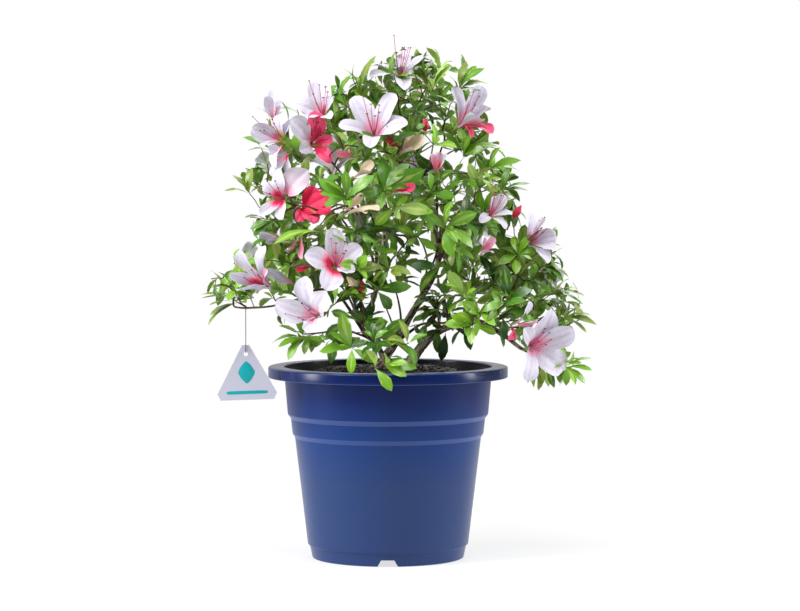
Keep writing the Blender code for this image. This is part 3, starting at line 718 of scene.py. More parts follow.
# twigs that show bare: way points, radii at both ends
bareTwigs = [
    ([(-26, -70, 344), (2, -58, 365), (16, -44, 378), (27, -36, 391), (36, -33, 402)], (1.3, 0.6)),
    ([(10, -52, 362), (16.5, -44, 365.5), (29, -38, 371), (41.3, -34, 378.3)], (0.8, 0.5)),
    ([(31, 2, 350), (31, -22, 352), (37, -32, 360), (42.2, -34, 384.5)], (0.9, 0.5)),
    ([(31, 2, 349), (33, -24, 352), (55, -34, 370.7), (67, -30, 374.4)], (1.2, 0.6)),
    ([(31, 2, 347), (34, -20, 351), (52, -30, 352), (72.4, -28, 352.7), (84, -24, 356)], (1.0, 0.5)),
    ([(-84, -56, 312), (-83, -66, 319), (-76, -74, 324), (-63, -74, 320), (-52, -64, 314)], (1.0, 0.6)),
    ([(-88, -66, 262), (-85.7, -74, 268.6), (-77, -78, 271.5), (-68, -78, 269), (-65, -76, 263),
        (-72.4, -72, 258.4)], (0.9, 0.7)),
    ([(-52, -60, 366), (-49.8, -74, 370.7), (-37.2, -78, 377.1), (-19.6, -74, 374.9)], (0.7, 0.4)),
    ([(2, -30, 256), (7, -20, 246), (11, -8, 228), (12, 1, 214)], (0.6, 1.0)),
    ([(-3, -30, 234), (2, -20, 221), (6, -8, 208)], (0.5, 0.8)),
    ([(45, -6, 234), (46, 0, 219), (47, 3, 208)], (0.5, 0.8)),
    ([(53, -4, 234), (54, 2, 220), (56, 5, 211)], (0.5, 0.8)),
    ([(47.5, 12, 272), (47, -4, 284), (50, -14, 296), (54, -22, 304)], (1.2, 0.9)),
    ([(26, -4, 297), (33, -2, 285), (36, 4, 270), (33, 10, 248)], (0.6, 0.9)),
    ([(-3, 2, 296), (-2, -6, 282), (-4, -8, 268)], (1.1, 1.1)),
]

bark = {
    "flareHeight": 0.014,
    "buried": 0.004,
    "intoMass": 0.8,  # how far a limb runs from its last way point towards its mass's centre
    "boughTip": 0.7,  # of the radius given
    "stemStep": 0.0009,
    "boughStep": 0.0016,
    "stemSides": 44,
    "boughSides": 16,
    "twist": 25,  # radians a metre
    "ridgeWidth": 0.0011,
    "ridgeLength": 0.0052,
    "ridgeHeight": 0.34,  # of the limb's radius
    "fineRidges": (2.3, 2.3, 3.1),  # how much closer the finer ridges lie
    "fineShare": 0.38,
    "slow": (0.35, 0.3),  # how close the slow swellings lie, and their height
    "knots": 9,
    "knotHeight": 0.32,  # of the limb's radius
    "knotSize": (0.0018, 0.004),  # least and most
    "rootsPerStem": 6,
    "rootSides": 14,
    "rootReach": (0.010, 0.022),
    "rootRadius": (0.0026, 0.0010),  # at its foot and at its tip
    "rootedStems": ("trunk_middle", "trunk_right"),
    "rampPlaces": (0.42, 0.68, 0.88),  # where the tones stand: fissure, between, ridge
    "stemTones": ((26, 18, 16), (84, 70, 61), (196, 180, 162)),
    "boughTones": ((26, 17, 15), (62, 46, 40), (122, 104, 90)),
}


def limbPaths():
    # name -> (path, radius at each station, is a stem): boughs start on their stem's middle line
    paths = {}
    for name, (points, (foot, above, tip), mass) in stems.items():
        path, run = smoothPath(towardsMass(np.array(points) * mm, mass), bark["stemStep"])
        taper = above + (tip - above) * (run / run[-1]) ** 0.5
        radius = taper + (foot - above) * np.exp(-run / (0.5 * bark["flareHeight"]))
        paths[name] = (path, radius * mm, True)
    for name, (stem, share, points, mass, (first, last)) in boughs.items():
        trunk = paths[stem][0]
        length = runAlong(smoothPath(np.array(stems[stem][0]) * mm, mm)[0])[-1]
        start = trunk[min(int(share * length / bark["stemStep"]), len(trunk) - 1)]
        points = towardsMass(np.vstack([start, np.array(points) * mm]), mass)
        path, run = smoothPath(points, bark["boughStep"])
        radius = (first + (last * bark["boughTip"] - first) * (run / run[-1]) ** 0.7) * mm
        paths[name] = (path, radius, False)
    return paths


def towardsMass(points, mass):
    # one more way point, most of the way from the last one to the mass's centre
    goal = np.array(masses[mass][0]) * mm
    return np.vstack([points, points[-1] + bark["intoMass"] * (goal - points[-1])])


def barkRings(path, radius, sides, seed):
    # a ring swept along the path; its radius swells by ridged noise stretched along the limb, and at knots:
    # radius * (1 + height * (ridge - 0.5) + slow swelling + knots), ridge = 1 - |2 * noise - 1|
    across, other = pathFrames(path)
    turn = np.linspace(0, fullTurn, sides, endpoint=False)
    run = runAlong(path)[:, None]
    r = radius[:, None]
    twist = turn + run * bark["twist"]
    wide, long = bark["ridgeWidth"], bark["ridgeLength"]
    place = np.stack([np.cos(twist) * r / wide, np.sin(twist) * r / wide, run / long + 0 * twist], -1)
    coarse = 1 - np.abs(2 * latticeNoise(place, seed) - 1)
    fine = 1 - np.abs(2 * latticeNoise(place * np.array(bark["fineRidges"]), seed + 50) - 1)
    closeness, height = bark["slow"]
    slow = latticeNoise(place * closeness, seed + 90) - 0.5
    ridge = (1 - bark["fineShare"]) * coarse + bark["fineShare"] * fine
    dice = np.random.default_rng(seed)
    swell = 1 + bark["ridgeHeight"] * (ridge - 0.5) + height * slow
    for _ in range(bark["knots"] if sides == bark["stemSides"] else 0):
        at, facing = dice.uniform(0, run[-1, 0]), dice.uniform(0, fullTurn)
        size = dice.uniform(*bark["knotSize"])
        aside = np.abs((turn - facing + math.pi) % fullTurn - math.pi) * r
        swell = swell + bark["knotHeight"] * np.exp(-(((run - at) ** 2 + aside**2) / size**2))
    circle = np.cos(turn)[:, None] * across[:, None] + np.sin(turn)[:, None] * other[:, None]
    rings = path[:, None] + (r * swell)[..., None] * circle
    return rings[None], ridge * (0.75 + 0.5 * slow)


def barkMaterial(name, tones, grain):
    # dark in its fissures and paler on its ridges, from the relief kept on the mesh and a fine noise
    material = makeMaterial(name, colour(*tones[1]), (0.65, 0.95), grain, 0.7, 0.0004, 0.3)
    relief = addNode(material, "Attribute", attribute_name="relief").outputs["Fac"]
    source = noiseInto(material, material.node_tree.nodes["Noise Texture"], 0.45, relief)
    blendColours(material, source, list(zip(bark["rampPlaces"], tones)))
    return material


def rootRings(seed):
    # low roots running out from each stem's foot into the soil
    dice = np.random.default_rng(seed)
    made = []
    first, last = bark["rootRadius"]
    for name in bark["rootedStems"]:
        foot = np.array(stems[name][0][0]) * mm
        for k in range(bark["rootsPerStem"]):
            angle = fullTurn * (k + dice.uniform(-0.3, 0.3)) / bark["rootsPerStem"]
            out = np.array([math.cos(angle), math.sin(angle), 0])
            reach = dice.uniform(*bark["rootReach"])
            ways = ((0.002, 0.006), (0.5 * reach, 0.0012), (reach, -0.005))
            path, run = smoothPath([foot + out * far + up * high for far, high in ways], mm)
            radius = (first - (first - last) * run / run[-1]) * dice.uniform(0.7, 1.1)
            made.append(barkRings(path, radius, bark["rootSides"], 300 + k))
    return made


def bareTwigRings():
    # a tapered tube of bark along each bare twig
    made = []
    for i, (points, (first, last)) in enumerate(bareTwigs):
        path, run = smoothPath(np.array(points) * mm, bark["boughStep"])
        radius = (first + (last - first) * run / run[-1]) * mm
        made.append(barkRings(path, radius, bark["boughSides"], 400 + i))
    return made


def makeBark(name, prefix, isStem, sides, extra, material):
    # one mesh of all the stems or all the boughs, each with its own seed
    made = []
    for i, (path, radius, thick) in enumerate(limbs.values()):
        if thick == isStem:
            if thick:  # a stem stands a little way down in the soil
                path = np.vstack([path[0] - up * bark["buried"], path])
                radius = np.concatenate([radius[:1] * 1.05, radius])
            made.append(barkRings(path, radius, sides, 20 + i))
    made += extra
    relief = np.concatenate([value.ravel() for _, value in made])
    shape = joinRings(*(rings for rings, _ in made))
    piece = makePiece(name, shape, [material], sharp=75, relief=relief)
    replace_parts(piece, *[node for node in nodes if node.startswith(prefix)])


limbs = limbPaths()
oldBark = barkMaterial("old bark", bark["stemTones"], 1400.0)
boughBark = barkMaterial("bough bark", bark["boughTones"], 1600.0)
makeBark("trunk_bark", "trunk_", True, bark["stemSides"], rootRings(5), oldBark)
makeBark("bough_bark", "bough_", False, bark["boughSides"], bareTwigRings(), boughBark)
print("limbs ready:", len(limbs))

# rosettes of the front half of the plant: x, z, depth, the shoot's direction on the upright plane in degrees,
# how much it leans to the front, leaf length, number of further leaves, tone, and where single leaves point
rosettes = [
    (-127, 334, -34, 135, 0.15, 25, 2, "olive", ((-148, 339), (-141, 351), (-126, 357), (-114, 341))),
    (-105, 372, -23, 178, 0.2, 26, 2, "leaf", ((-127, 375), (-130, 387))),
    (-108, 398, -26, 110, 0.0, 16, 2, "leaf", ((-112, 412),)),
    (-91, 399, -30, 100, 0, 18, 2, "leaf", ((-96, 418),)),
    (-81, 368, -26, 140, 0.6, 30, 3, "fresh", ((-105, 390), (-84, 385))),
    (-89, 331, -33, 85, 0.5, 27, 3, "olive", ((-90, 359), (-102, 347), (-107, 337))),
    (-46, 426, -37, 95, 0.2, 18, 3, "mid", ((-47, 441),)),
    (-26, 426, -38, 120, 0.2, 28, 3, "olive", ((-37, 449), (-32, 452), (-14, 459))),
    (-39, 415, -43, 140, 0.4, 24, 4, "leaf", ((-55, 430),)),
    (-50, 394, -37, 75, 0.45, 27, 5, "pale", ((-46, 419),)),
    (-41, 375, 0, 90, 0.7, 20, 4, "fresh", ((-52, 380), (-26, 386))),
    (6, 436, -33, 105, 0.5, 18, 2, "leaf", ((4, 462), (-4, 449), (16, 443))),
    (17, 427, -34, 60, 0.5, 20, 5, "mid", ()),
    (-10, 372, -85, 285, 0.8, 15, 4, "bright", ()),
    (-2, 374, -86, 30, 0.5, 33, 4, "mid", ((26, 393),)),
    (41, 429, -33, 70, 0.3, 28, 5, "pale", ((56, 450), (51, 456))),
    (33, 445, -31, 100, 0.1, 18, 4, "deep", ((34, 463),)),
    (65, 430, -24, 60, 0.2, 28, 3, "olive", ((71, 454), (80, 448), (85, 449), (91, 438))),
    (48, 416, -28, 70, 0.5, 24, 5, "mid", ((56, 432), (38, 427))),
    (53, 404, -18, 80, 0.6, 20, 6, "fresh", ()),
    (50, 392, -15, 90, 0.9, 14, 7, "lime", ()),
    (69, 370, -17, 90, 0.6, 28, 3, "fresh", ((54, 388), (65, 395), (74, 385), (97, 381), (82, 375))),
    (92, 357, -21, 40, 0.3, 28, 5, "fresh", ((120, 365), (120, 359), (100, 374))),
    (105, 336, -30, 30, 0.2, 23, 3, "mid", ((109, 356), (127, 346), (126, 340))),
    (84, 340, -27, 90, 0.6, 20, 3, "pale", ((84, 354), (74, 360), (104, 336), (68, 346))),
    (71, 346, -69, 200, 0.3, 26, 4, "leaf", ((50, 336),)),
    (89, 316, -27, 90, 0.6, 26, 4, "bright", ((95, 335), (82, 334), (102, 308))),
    (53, 304, -85, 90, 0.8, 33, 3, "leaf", ((29, 318), (80, 316), (78, 289), (57, 281), (55, 324))),
    (38, 335, -81, 90, 0.7, 26, 4, "leaf", ((39, 350), (24, 351), (25, 324), (59, 332))),
    (-4, 337, -93, 80, 0.8, 33, 3, "mid", ((-4, 365), (17, 361), (32, 355), (6, 354), (-25, 335))),
    (-38, 329, -103, 85, 0.6, 28, 3, "leaf", ((-62, 347), (-53, 347), (-39, 354), (-14, 350), (-60, 334),
        (-57, 325))),
    (6, 321, -87, 60, 0.8, 17, 3, "lime", ((16, 330), (10, 313), (38, 319), (-11, 306))),
    (9, 302, -65, 190, 0.5, 30, 3, "dark", ((-29, 298), (-1, 306))),
    (-60, 299, -92, 195, 0.15, 31, 2, "fresh", ((-83, 295), (-103, 291), (-49, 315), (-39, 291))),
    (-106, 309, -28, 215, 0.4, 24, 4, "mid", ((-125, 303), (-122, 297), (-79, 301))),
    (-90, 320, -30, 190, 0.5, 24, 4, "dark", ((-111, 316),)),
    (-105, 291, -33, 250, 0.4, 22, 3, "mid", ((-123, 289), (-110, 269), (-95, 271))),
    (-90, 270, -32, 130, 0.8, 22, 5, "fresh", ((-100, 280),)),
    (-75, 289, -35, 90, 0.4, 22, 6, "mid", ()),
    (-139, 234, -58, 186, 0.05, 30, 1, "olive", ((-168, 246), (-170, 240), (-161, 234), (-162, 224),
        (-165, 216), (-145, 261))),
    (-127, 238, -60, 160, 0.5, 28, 5, "fresh", ((-130, 249), (-122, 261), (-140, 247))),
    (-105, 240, -50, 90, 0.4, 17, 3, "pale", ((-109, 252), (-94, 254), (-100, 263))),
    (-82, 239, -74, 180, 0.2, 20, 2, "mid", ((-98, 245), (-86, 254))),
    (-78, 202, -56, 190, 0.35, 27, 3, "fresh", ((-98, 214), (-82, 219), (-107, 201), (-99, 196), (-92, 185),
        (-60, 200))),
    (-33, 192, -92, 215, 0.6, 27, 2, "fresh", ((-62, 190), (-52, 207), (-43, 223), (-34, 171), (-14, 181))),
    (-12, 174, -113, 304, 0.6, 27, 2, "fresh", ((3, 154), (-10, 185))),
    (-3, 176, -100, 5, 0.6, 28, 3, "fresh", ((25, 175), (14, 169), (12, 181), (-1, 187))),
    (-7, 202, -80, 35, 0.7, 27, 3, "mid", ((-18, 213), (-7, 216), (13, 218), (23, 189), (-11, 191))),
    (-10, 245, -78, 60, 0.7, 30, 3, "mid", ((19, 250), (-5, 259), (-17, 253), (-14, 234), (1, 230))),
    (-28, 266, -94, 60, 0.7, 29, 5, "bright", ((-37, 270), (-21, 275))),
    (-1, 266, -86, 150, 0.6, 28, 4, "olive", ((-28, 266), (18, 263))),
    (-39, 247, -80, 150, 0.7, 17, 4, "bright", ((-45, 258),)),
    (-48, 234, -74, 60, 0.5, 24, 4, "mid", ((-46, 249), (-56, 224), (-28, 249))),
    (-25, 235, -74, 280, 0.3, 18, 4, "deep", ((-33, 225), (-20, 220))),
    (-22, 216, -78, 70, 0.5, 24, 4, "mid", ((-1, 218), (-31, 225))),
    (18, 291, -40, 265, 0.6, 17, 3, "dark", ((19, 280),)),
    (47, 267, -62, 232, 0.6, 32, 2, "dark", ((28, 247), (23, 269))),
    (13, 271, -50, 0, 0.4, 24, 4, "olive", ((28, 272),)),
    (70, 240, -69, 125, 0.7, 28, 4, "lime", ((56, 262), (55, 251))),
    (74, 237, -72, 90, 0.6, 14, 7, "pale", ()),
    (84, 224, -76, 20, 0.8, 27, 5, "fresh", ((105, 235), (72, 233), (95, 216))),
    (78, 213, -71, 340, 0.7, 25, 4, "lime", ((66, 224), (76, 200), (53, 215), (99, 206))),
    (53, 207, -30, 258, 0.35, 28, 2, "deep", ((49, 182), (34, 205))),
    (70, 210, -63, 300, 0.4, 24, 2, "deep", ((59, 201), (75, 195))),
    (72, 275, 17, 100, 0.8, 22, 5, "fresh", ((60, 291), (60, 280), (86, 286))),
    (72, 266, 15, 180, 0.4, 32, 2, "mid", ((43, 269), (55, 258))),
    (112, 238, -73, 100, 0.7, 30, 4, "dark", ((106, 267), (127, 246))),
    (119, 278, -40, 55, 0.7, 26, 5, "bright", ((116, 292), (130, 297), (139, 287), (103, 271))),
    (97, 253, 23, 110, 0.6, 26, 4, "dark", ((87, 276), (108, 270))),
    (131, 254, -34, 10, 0.4, 28, 5, "mid", ((135, 269), (147, 246), (120, 258))),
    (154, 243, -19, 20, 0.1, 27, 5, "olive", ((163, 255), (169, 248), (179, 242), (178, 235))),
    (161, 220, -29, 355, 0.1, 28, 6, "olive", ((184, 224), (190, 217), (181, 209))),
    (164, 175, -20, 350, 0.2, 25, 4, "fresh", ((184, 185), (186, 173), (181, 162), (163, 163))),
    (141, 178, -20, 300, 0.0, 24, 2, "olive", ((150, 165), (140, 155))),
    (106, 231, -76, 30, 0.6, 28, 4, "mid", ((127, 222), (120, 238))),
    (105, 220, -76, 275, 0.4, 24, 3, "deep", ((107, 203),)),
    (144, 268, -38, 10, 0.1, 27, 5, "mid", ((159, 285), (164, 261), (159, 258))),
    (37, 224, -20, 190, 0.3, 21, 2, "olive", ((24, 220),)),
    (40, 236, -20, 200, 0.3, 21, 2, "olive", ((27, 241),)),
    (44, 207, -10, 185, 0.2, 18, 3, "dark", ()),
    (-62, 346, -92, 150, 0.6, 24, 6, "mid", ()),
    (29, 365, -85, 40, 0.4, 22, 5, "mid", ()),
    (-31, 299, -97, 190, 0.6, 24, 6, "mid", ()),
    (33, 317, -84, 150, 0.7, 22, 7, "fresh", ()),
    (-15, 282, -92, 60, 0.6, 22, 6, "mid", ()),
    (-53, 200, -75, 200, 0.5, 22, 5, "mid", ()),
    (-116, 271, -66, 200, 0.4, 20, 5, "olive", ()),
    (128, 209, -9, 200, 0.3, 20, 4, "mid", ()),
    (48, 346, -76, 90, 0.7, 22, 7, "mid", ()),
    (25, 410, -29, 100, 0.5, 22, 6, "mid", ()),
    (11, 401, -20, 80, 0.4, 20, 5, "leaf", ()),
    (9, 278, -46, 10, 0.3, 22, 3, "dark", ((27, 281),)),
    (10, 254, -52, 5, 0.3, 20, 2, "dark", ((28, 257), (29, 250))),
    (47, 240, -14, 190, 0.3, 20, 3, "dark", ((28, 235), (31, 243))),
    (44, 230, -16, 185, 0.3, 20, 3, "olive", ((26, 226), (32, 220))),
    (47, 225, -8, 200, 0.4, 21, 3, "dark", ((26, 220), (36, 214))),
    (53, 239, 4, 270, 0.3, 20, 3, "deep", ((53, 221), (60, 224), (46, 226))),
    (56, 225, -34, 0, 0.4, 22, 3, "dark", ((75, 229), (72, 219), (63, 214))),
    (57, 212, -44, 320, 0.4, 24, 2, "deep", ((76, 202), (72, 210))),
    (54, 259, -20, 265, 0.3, 20, 3, "olive", ((51, 243), (60, 246), (64, 256))),
    (50, 280, -12, 160, 0.3, 22, 4, "olive", ((35, 289), (34, 277), (56, 296))),
    (4, 297, -24, 280, 0.3, 20, 4, "dark", ((6, 279), (-4, 283), (15, 286))),
    (38, 302, -30, 180, 0.3, 22, 4, "mid", ((20, 301), (26, 309), (42, 290))),
    (62, 270, -24, 60, 0.5, 22, 5, "mid", ((50, 262), (74, 280))),
    (-22, 300, -60, 200, 0.5, 22, 4, "dark", ((-38, 296), (-16, 288))),
    (-20, 218, -40, 40, 0.4, 22, 3, "dark", ((-4, 226), (-14, 232))),
    (20, 212, -60, 200, 0.4, 20, 2, "dark", ((5, 206),)),
]

# flowers: x, z, depth of the throat, its direction and lean, one letter for each petal, whether stamens show,
# and each petal's tip measured from the throat
flowers = [
    (-13, 391, -88, 95, 0.78, "wwWWw", 1, ((-18, 14, 31), (19, 1, 33), (30, -7, 7), (-3, -22, -15),
        (-31, -4, 5))),
    (134, 194, -62, 350, 0.8, "WsWWw", 1, ((16, -2, 33), (36, 1, 14), (27, 13, -23), (-8, -12, -30),
        (-10, -20, 17))),
    (-47, 269, -103, 60, 0.9, "SWwBB", 1, ((-4, 4, 32), (21, 3, 16), (16, -8, -6), (-9, -20, -22),
        (-28, -12, 8))),
    (-68, 220, -98, 200, 0.72, "WWsws", 1, ((-7, -7, 37), (-34, 9, 13), (11, -28, 23), (3, -10, -11),
        (-9, 1, -11))),
    (-67, 380, -58, 30, 0.9, "HHhWw", 1, ((0, 0, 29), (16, 2, 4), (14, -7, -18), (-21, -16, 21),
        (-13, -21, -7))),
    (-60, 408, -51, 100, 0.8, "WWsws", 1, ((-4, 19, 30), (-28, 2, 8), (9, 1, 14), (-14, -13, -4),
        (8, -19, -6))),
    (11, 443, -32, 80, 0.25, "wwwww", 1, ((-28, 5, 8), (5, 18, 22), (26, -2, 17), (4, -24, -15),
        (-27, -14, -3))),
    (-99, 384, -34, 165, 0.6, "WsbWw", 1, ((2, 2, 25), (-17, -10, -7), (-3, -14, -26), (-25, -4, 9),
        (13, 2, 18))),
    (-95, 371, -40, 200, 0.8, "Wsb", 0, ((-14, -2, 6), (-9, -6, -22), (6, -8, -17))),
    (-105, 406, -26, 100, 0.45, "WWwww", 0, ((-7, -4, 16), (7, 2, 25), (-13, -8, 4), (-2, 10, 18),
        (8, -10, 8))),
    (-98, 330, -56, 190, 0.86, "QBbbw", 1, ((24, 2, 25), (-15, 0, 13), (-17, -12, -15), (2, -14, -19),
        (-2, 8, 26))),
    (-77, 321, -66, 40, 0.8, "CCchH", 0, ((9, 2, 19), (23, -5, 11), (24, -13, -4), (-6, -15, -12),
        (9, -19, -14))),
    (-35, 368, -70, 170, 0.6, "ppp", 0, ((-13, -6, 4), (-9, -12, -6), (0, 0, 9))),
    (15, 374, -84, 40, 0.6, "eee", 0, ((18, -8, 11), (7, 0, 14), (9, -12, 0))),
    (44, 357, -76, 80, 0.6, "bpp", 0, ((10, -8, 12), (-5, -4, 13), (4, 6, 14))),
    (9, 336, -96, 10, 0.7, "hp", 0, ((15, -6, 6), (11, -12, -2))),
    (-35, 320, -104, 40, 0.5, "eee", 0, ((11, -4, 14), (26, -8, -1), (14, -14, -4))),
    (-26, 353, -92, 40, 0.5, "ee", 0, ((12, -6, 10), (9, -12, 1))),
    (70, 400, -34, 40, 0.55, "wwWWHh", 1, ((-11, 2, 31), (15, 0, 32), (20, -18, 13), (14, -22, 2),
        (25, -10, -11), (6, -8, -15))),
    (95, 316, -64, 60, 0.6, "WWwww", 1, ((12, -2, 16), (-11, -6, -8), (18, -8, -1), (12, -10, -14),
        (4, 6, 15))),
    (131, 291, -44, 20, 0.6, "WWwww", 1, ((-2, 2, 25), (23, -2, 4), (23, -12, -9), (14, -16, -20),
        (9, -12, 21))),
    (87, 282, -66, 50, 0.5, "pps", 0, ((11, -6, 11), (8, -12, -2), (1, -4, 12))),
    (119, 211, -76, 10, 0.4, "phs", 0, ((17, -6, 7), (-9, -8, -10), (10, -4, 24))),
    (-115, 250, -84, 165, 0.5, "WbwWPs", 1, ((-20, -8, 31), (-28, -14, 11), (2, 2, 35), (-21, -16, -4),
        (5, -12, 14), (-6, -18, -8))),
    (-98, 291, -52, 170, 0.4, "bsw", 0, ((-19, -6, 7), (-13, -12, 0), (-1, 0, 11))),
    (-81, 291, -60, 260, 0.6, "pp", 0, ((3, -8, -16), (-12, -8, -9))),
    (-72, 268, -52, 190, 0.6, "ch", 0, ((-11, -6, -5), (-9, -8, 3))),
    (-91, 252, -60, 160, 0.5, "ws", 0, ((-13, -6, 5), (-20, -2, 12))),
]

# buds: x, z, depth, how far each points across and up, and a letter for its tone
buds = [
    (8, 378, -84, -7, 4, "c"), (-24, 242, -84, 0, 9, "c"), (-28, 248, -88, -7, 7, "e"),
    (-138, 239, -66, -6, 7, "w"), (115, 312, -40, 5, 8, "c"), (34, 391, -60, 0, 8, "c"),
    (140, 195, -20, 4, -6, "c"),
]

# openings that no leaf crosses: x, z, radius, and the depth before which it holds, 999 for all
openings = [
    (9, 291, 5, 999), (36, 267, 7, 999), (33, 293, 5, 999), (48, 271, 7, 999), (-17, 279, 6, 999),
    (17, 246, 10, 999), (9, 231, 7, 999), (19, 222, 8, 999), (61, 193, 13, 999), (40, 190, 8, 999),
    (-66, 291, 5, 999), (35, 383, 6, 999), (57, 368, 7, 999), (-53, 200, 5, 999), (71, 358, 4, 999),
    (82, 360, 4, 999), (55, 342, 6, 999), (61, 330, 6, 999), (89, 334, 6, 999), (81, 334, 4, 999),
    (53, 437, 4, 999), (69, 437, 3, 999), (-67, 342, 4, 999), (-49, 321, 5, 999), (-66, 305, 4, 999),
    (-9, 300, 4, 999), (4, 310, 3, 999), (-122, 366, 8, 999), (-118, 318, 6, 999), (88, 181, 22, 999),
    (28, 194, 8, 0), (46, 203, 5, 0), (-95, 397, 30, 20), (-82, 372, 20, 0), (-88, 336, 24, -5),
    (30, 362, 14, -40), (-60, 225, 16, 0), (120, 300, 14, -10), (78, 398, 14, 10),
]

# how far the leaves reach: height, left, right
outline = [
    (150, 120, 182), (165, 128, 182), (178, 126, 184), (187, -82, 176), (196, -98, 158), (206, -100, 156),
    (214, -98, 178), (224, -98, 184), (236, -170, 176), (246, -166, 178), (256, -166, 170), (264, -150, 164),
    (274, -142, 158), (283, -142, 155), (292, -138, 152), (301, -125, 149), (310, -126, 137),
    (320, -124, 122), (329, -120, 120), (338, -130, 110), (347, -146, 126), (356, -143, 126),
    (366, -115, 120), (375, -112, 120), (384, -130, 93), (393, -132, 92), (403, -118, 93), (412, -112, 90),
    (421, -66, 84), (430, -62, 76), (440, -56, 82), (449, -50, 86), (458, -32, 82), (467, -16, 56),
    (472, 10, 40),
]

growth = {
    "seed": 27,
    "spacing": 0.0218,  # between shoot tips
    "tries": 260,  # in each mass
    "innerShare": 0.34,  # of a mass's radius
    "outerShare": 0.86,
    "outward": 0.8,  # below 1 crowds the tips towards the outside
    "axis": (0.02, 0.01),  # shoots lean away from this upright line
    "soilClear": (0.19, 0.10),  # no shoot ends below this height within this radius
    "heading": (0.6, 0.45, 0.38, 0.25),  # out of the mass, away from the axis, up, and by chance
    "fromStem": (0.5, 4),  # twigs leave stems beyond this share of their length, at every so many stations
    "fromBough": (0.28, 2),
    "stations": 8,
    "sides": 6,
    "uneven": 0.22,  # of a twig's radius
    "radius": 0.00046,  # of a twig with one tip
    "power": 0.42,  # how it grows with the tips beyond it
    "thick": 1.3,  # times the radius: thicker twigs have brown bark
    "closest": 0.009,  # no twig is shorter than this where another root will do
    "turning": (0.95, 0.5),  # the cost of a turn at the tip and at the root
    "sweep": (0.55, 0.85),  # how far a twig keeps its root's way, and the curve's fullness
    "crook": 0.0165,  # of its length
    "middleDepth": 0.012,
    "halfDepth": 0.141,  # leaves reach this far before and behind the middle depth
    "sideSpare": 0.001,
    "rimFront": -0.107,  # rosettes before this depth hang in front of the rim
    "rimReach": 0.007,  # how far their leaves come forward
    "frontLimit": -0.1275,  # a leaf whose tip lies before this depth is left out
    "bloomInside": 0.046,  # how far inside the outline a back flower stands
    "bloomGap": (57, 368, 50),  # and not behind this gap in the leaves
    "bloomDepths": (0.055, 0.104),  # back flowers stand between these depths
    "bloomApart": 0.045,
    "bloomMasses": {  # and how many flowers each bears
        "back_top": 3,
        "back_left": 2,
        "back_right": 2,
        "back_centre": 2,
        "back_low_left": 1,
        "back_low_right": 1,
    },
}
dice = np.random.default_rng(growth["seed"])


def inOpening(points):
    # inside an opening and not further back than it allows
    holes = np.array(openings) * mm
    far = np.linalg.norm(seenAt(points)[..., None, :] - holes[:, :2], axis=-1)
    return ((far < holes[:, 2]) & (points[..., 1:2] < holes[:, 3])).any(-1)


def outside(points, spare=growth["sideSpare"]):
    # beyond the plant's left or right limit at that height
    seen, limits = seenAt(points), np.array(outline) * mm
    left, right = (np.interp(seen[..., 1], limits[:, 0], limits[:, k]) for k in (1, 2))
    return (seen[..., 0] < left - spare) | (seen[..., 0] > right + spare)


def hidden(point):
    # a place where no further leaf may show
    beyond = abs(point[1] - growth["middleDepth"]) > growth["halfDepth"]
    return beyond or inOpening(point) or outside(point)


def headingFrom(angle, lean):
    # angle on the upright plane in degrees, lean 0 to 1 towards the front
    flat = math.sqrt(max(0.0, 1 - lean**2))
    return np.array([flat * math.cos(math.radians(angle)), -lean, flat * math.sin(math.radians(angle))])


def massTips():
    # evenly scattered shoot tips in the outer part of each mass, none closer than the spacing
    tips, headings = [], []
    taken = [alongSight(*row[:3]) for row in rosettes + flowers]
    low, near = growth["soilClear"]
    outwards, aside, rising, chance = growth["heading"]
    for centre, half in masses.values():
        centre, half = np.array(centre) * mm, np.array(half) * mm
        facing = unit(dice.normal(size=(growth["tries"], 3)))
        share = dice.uniform(growth["innerShare"], growth["outerShare"], growth["tries"])
        share = share[:, None] ** growth["outward"]
        for place, way in zip(centre + facing * half * share, facing):
            if np.linalg.norm(np.array(taken) - place, axis=1).min() < growth["spacing"]:
                continue
            if inOpening(place) or outside(place) or place[2] < low and np.hypot(*place[:2]) < near:
                continue
            away = unit(np.array([*(place[:2] - growth["axis"]), 0.0]))
            heading = outwards * way + aside * away + rising * up + chance * dice.normal(size=3)
            tips.append(place)
            headings.append(unit(heading))
            taken.append(place)
    return np.array(tips), np.array(headings)


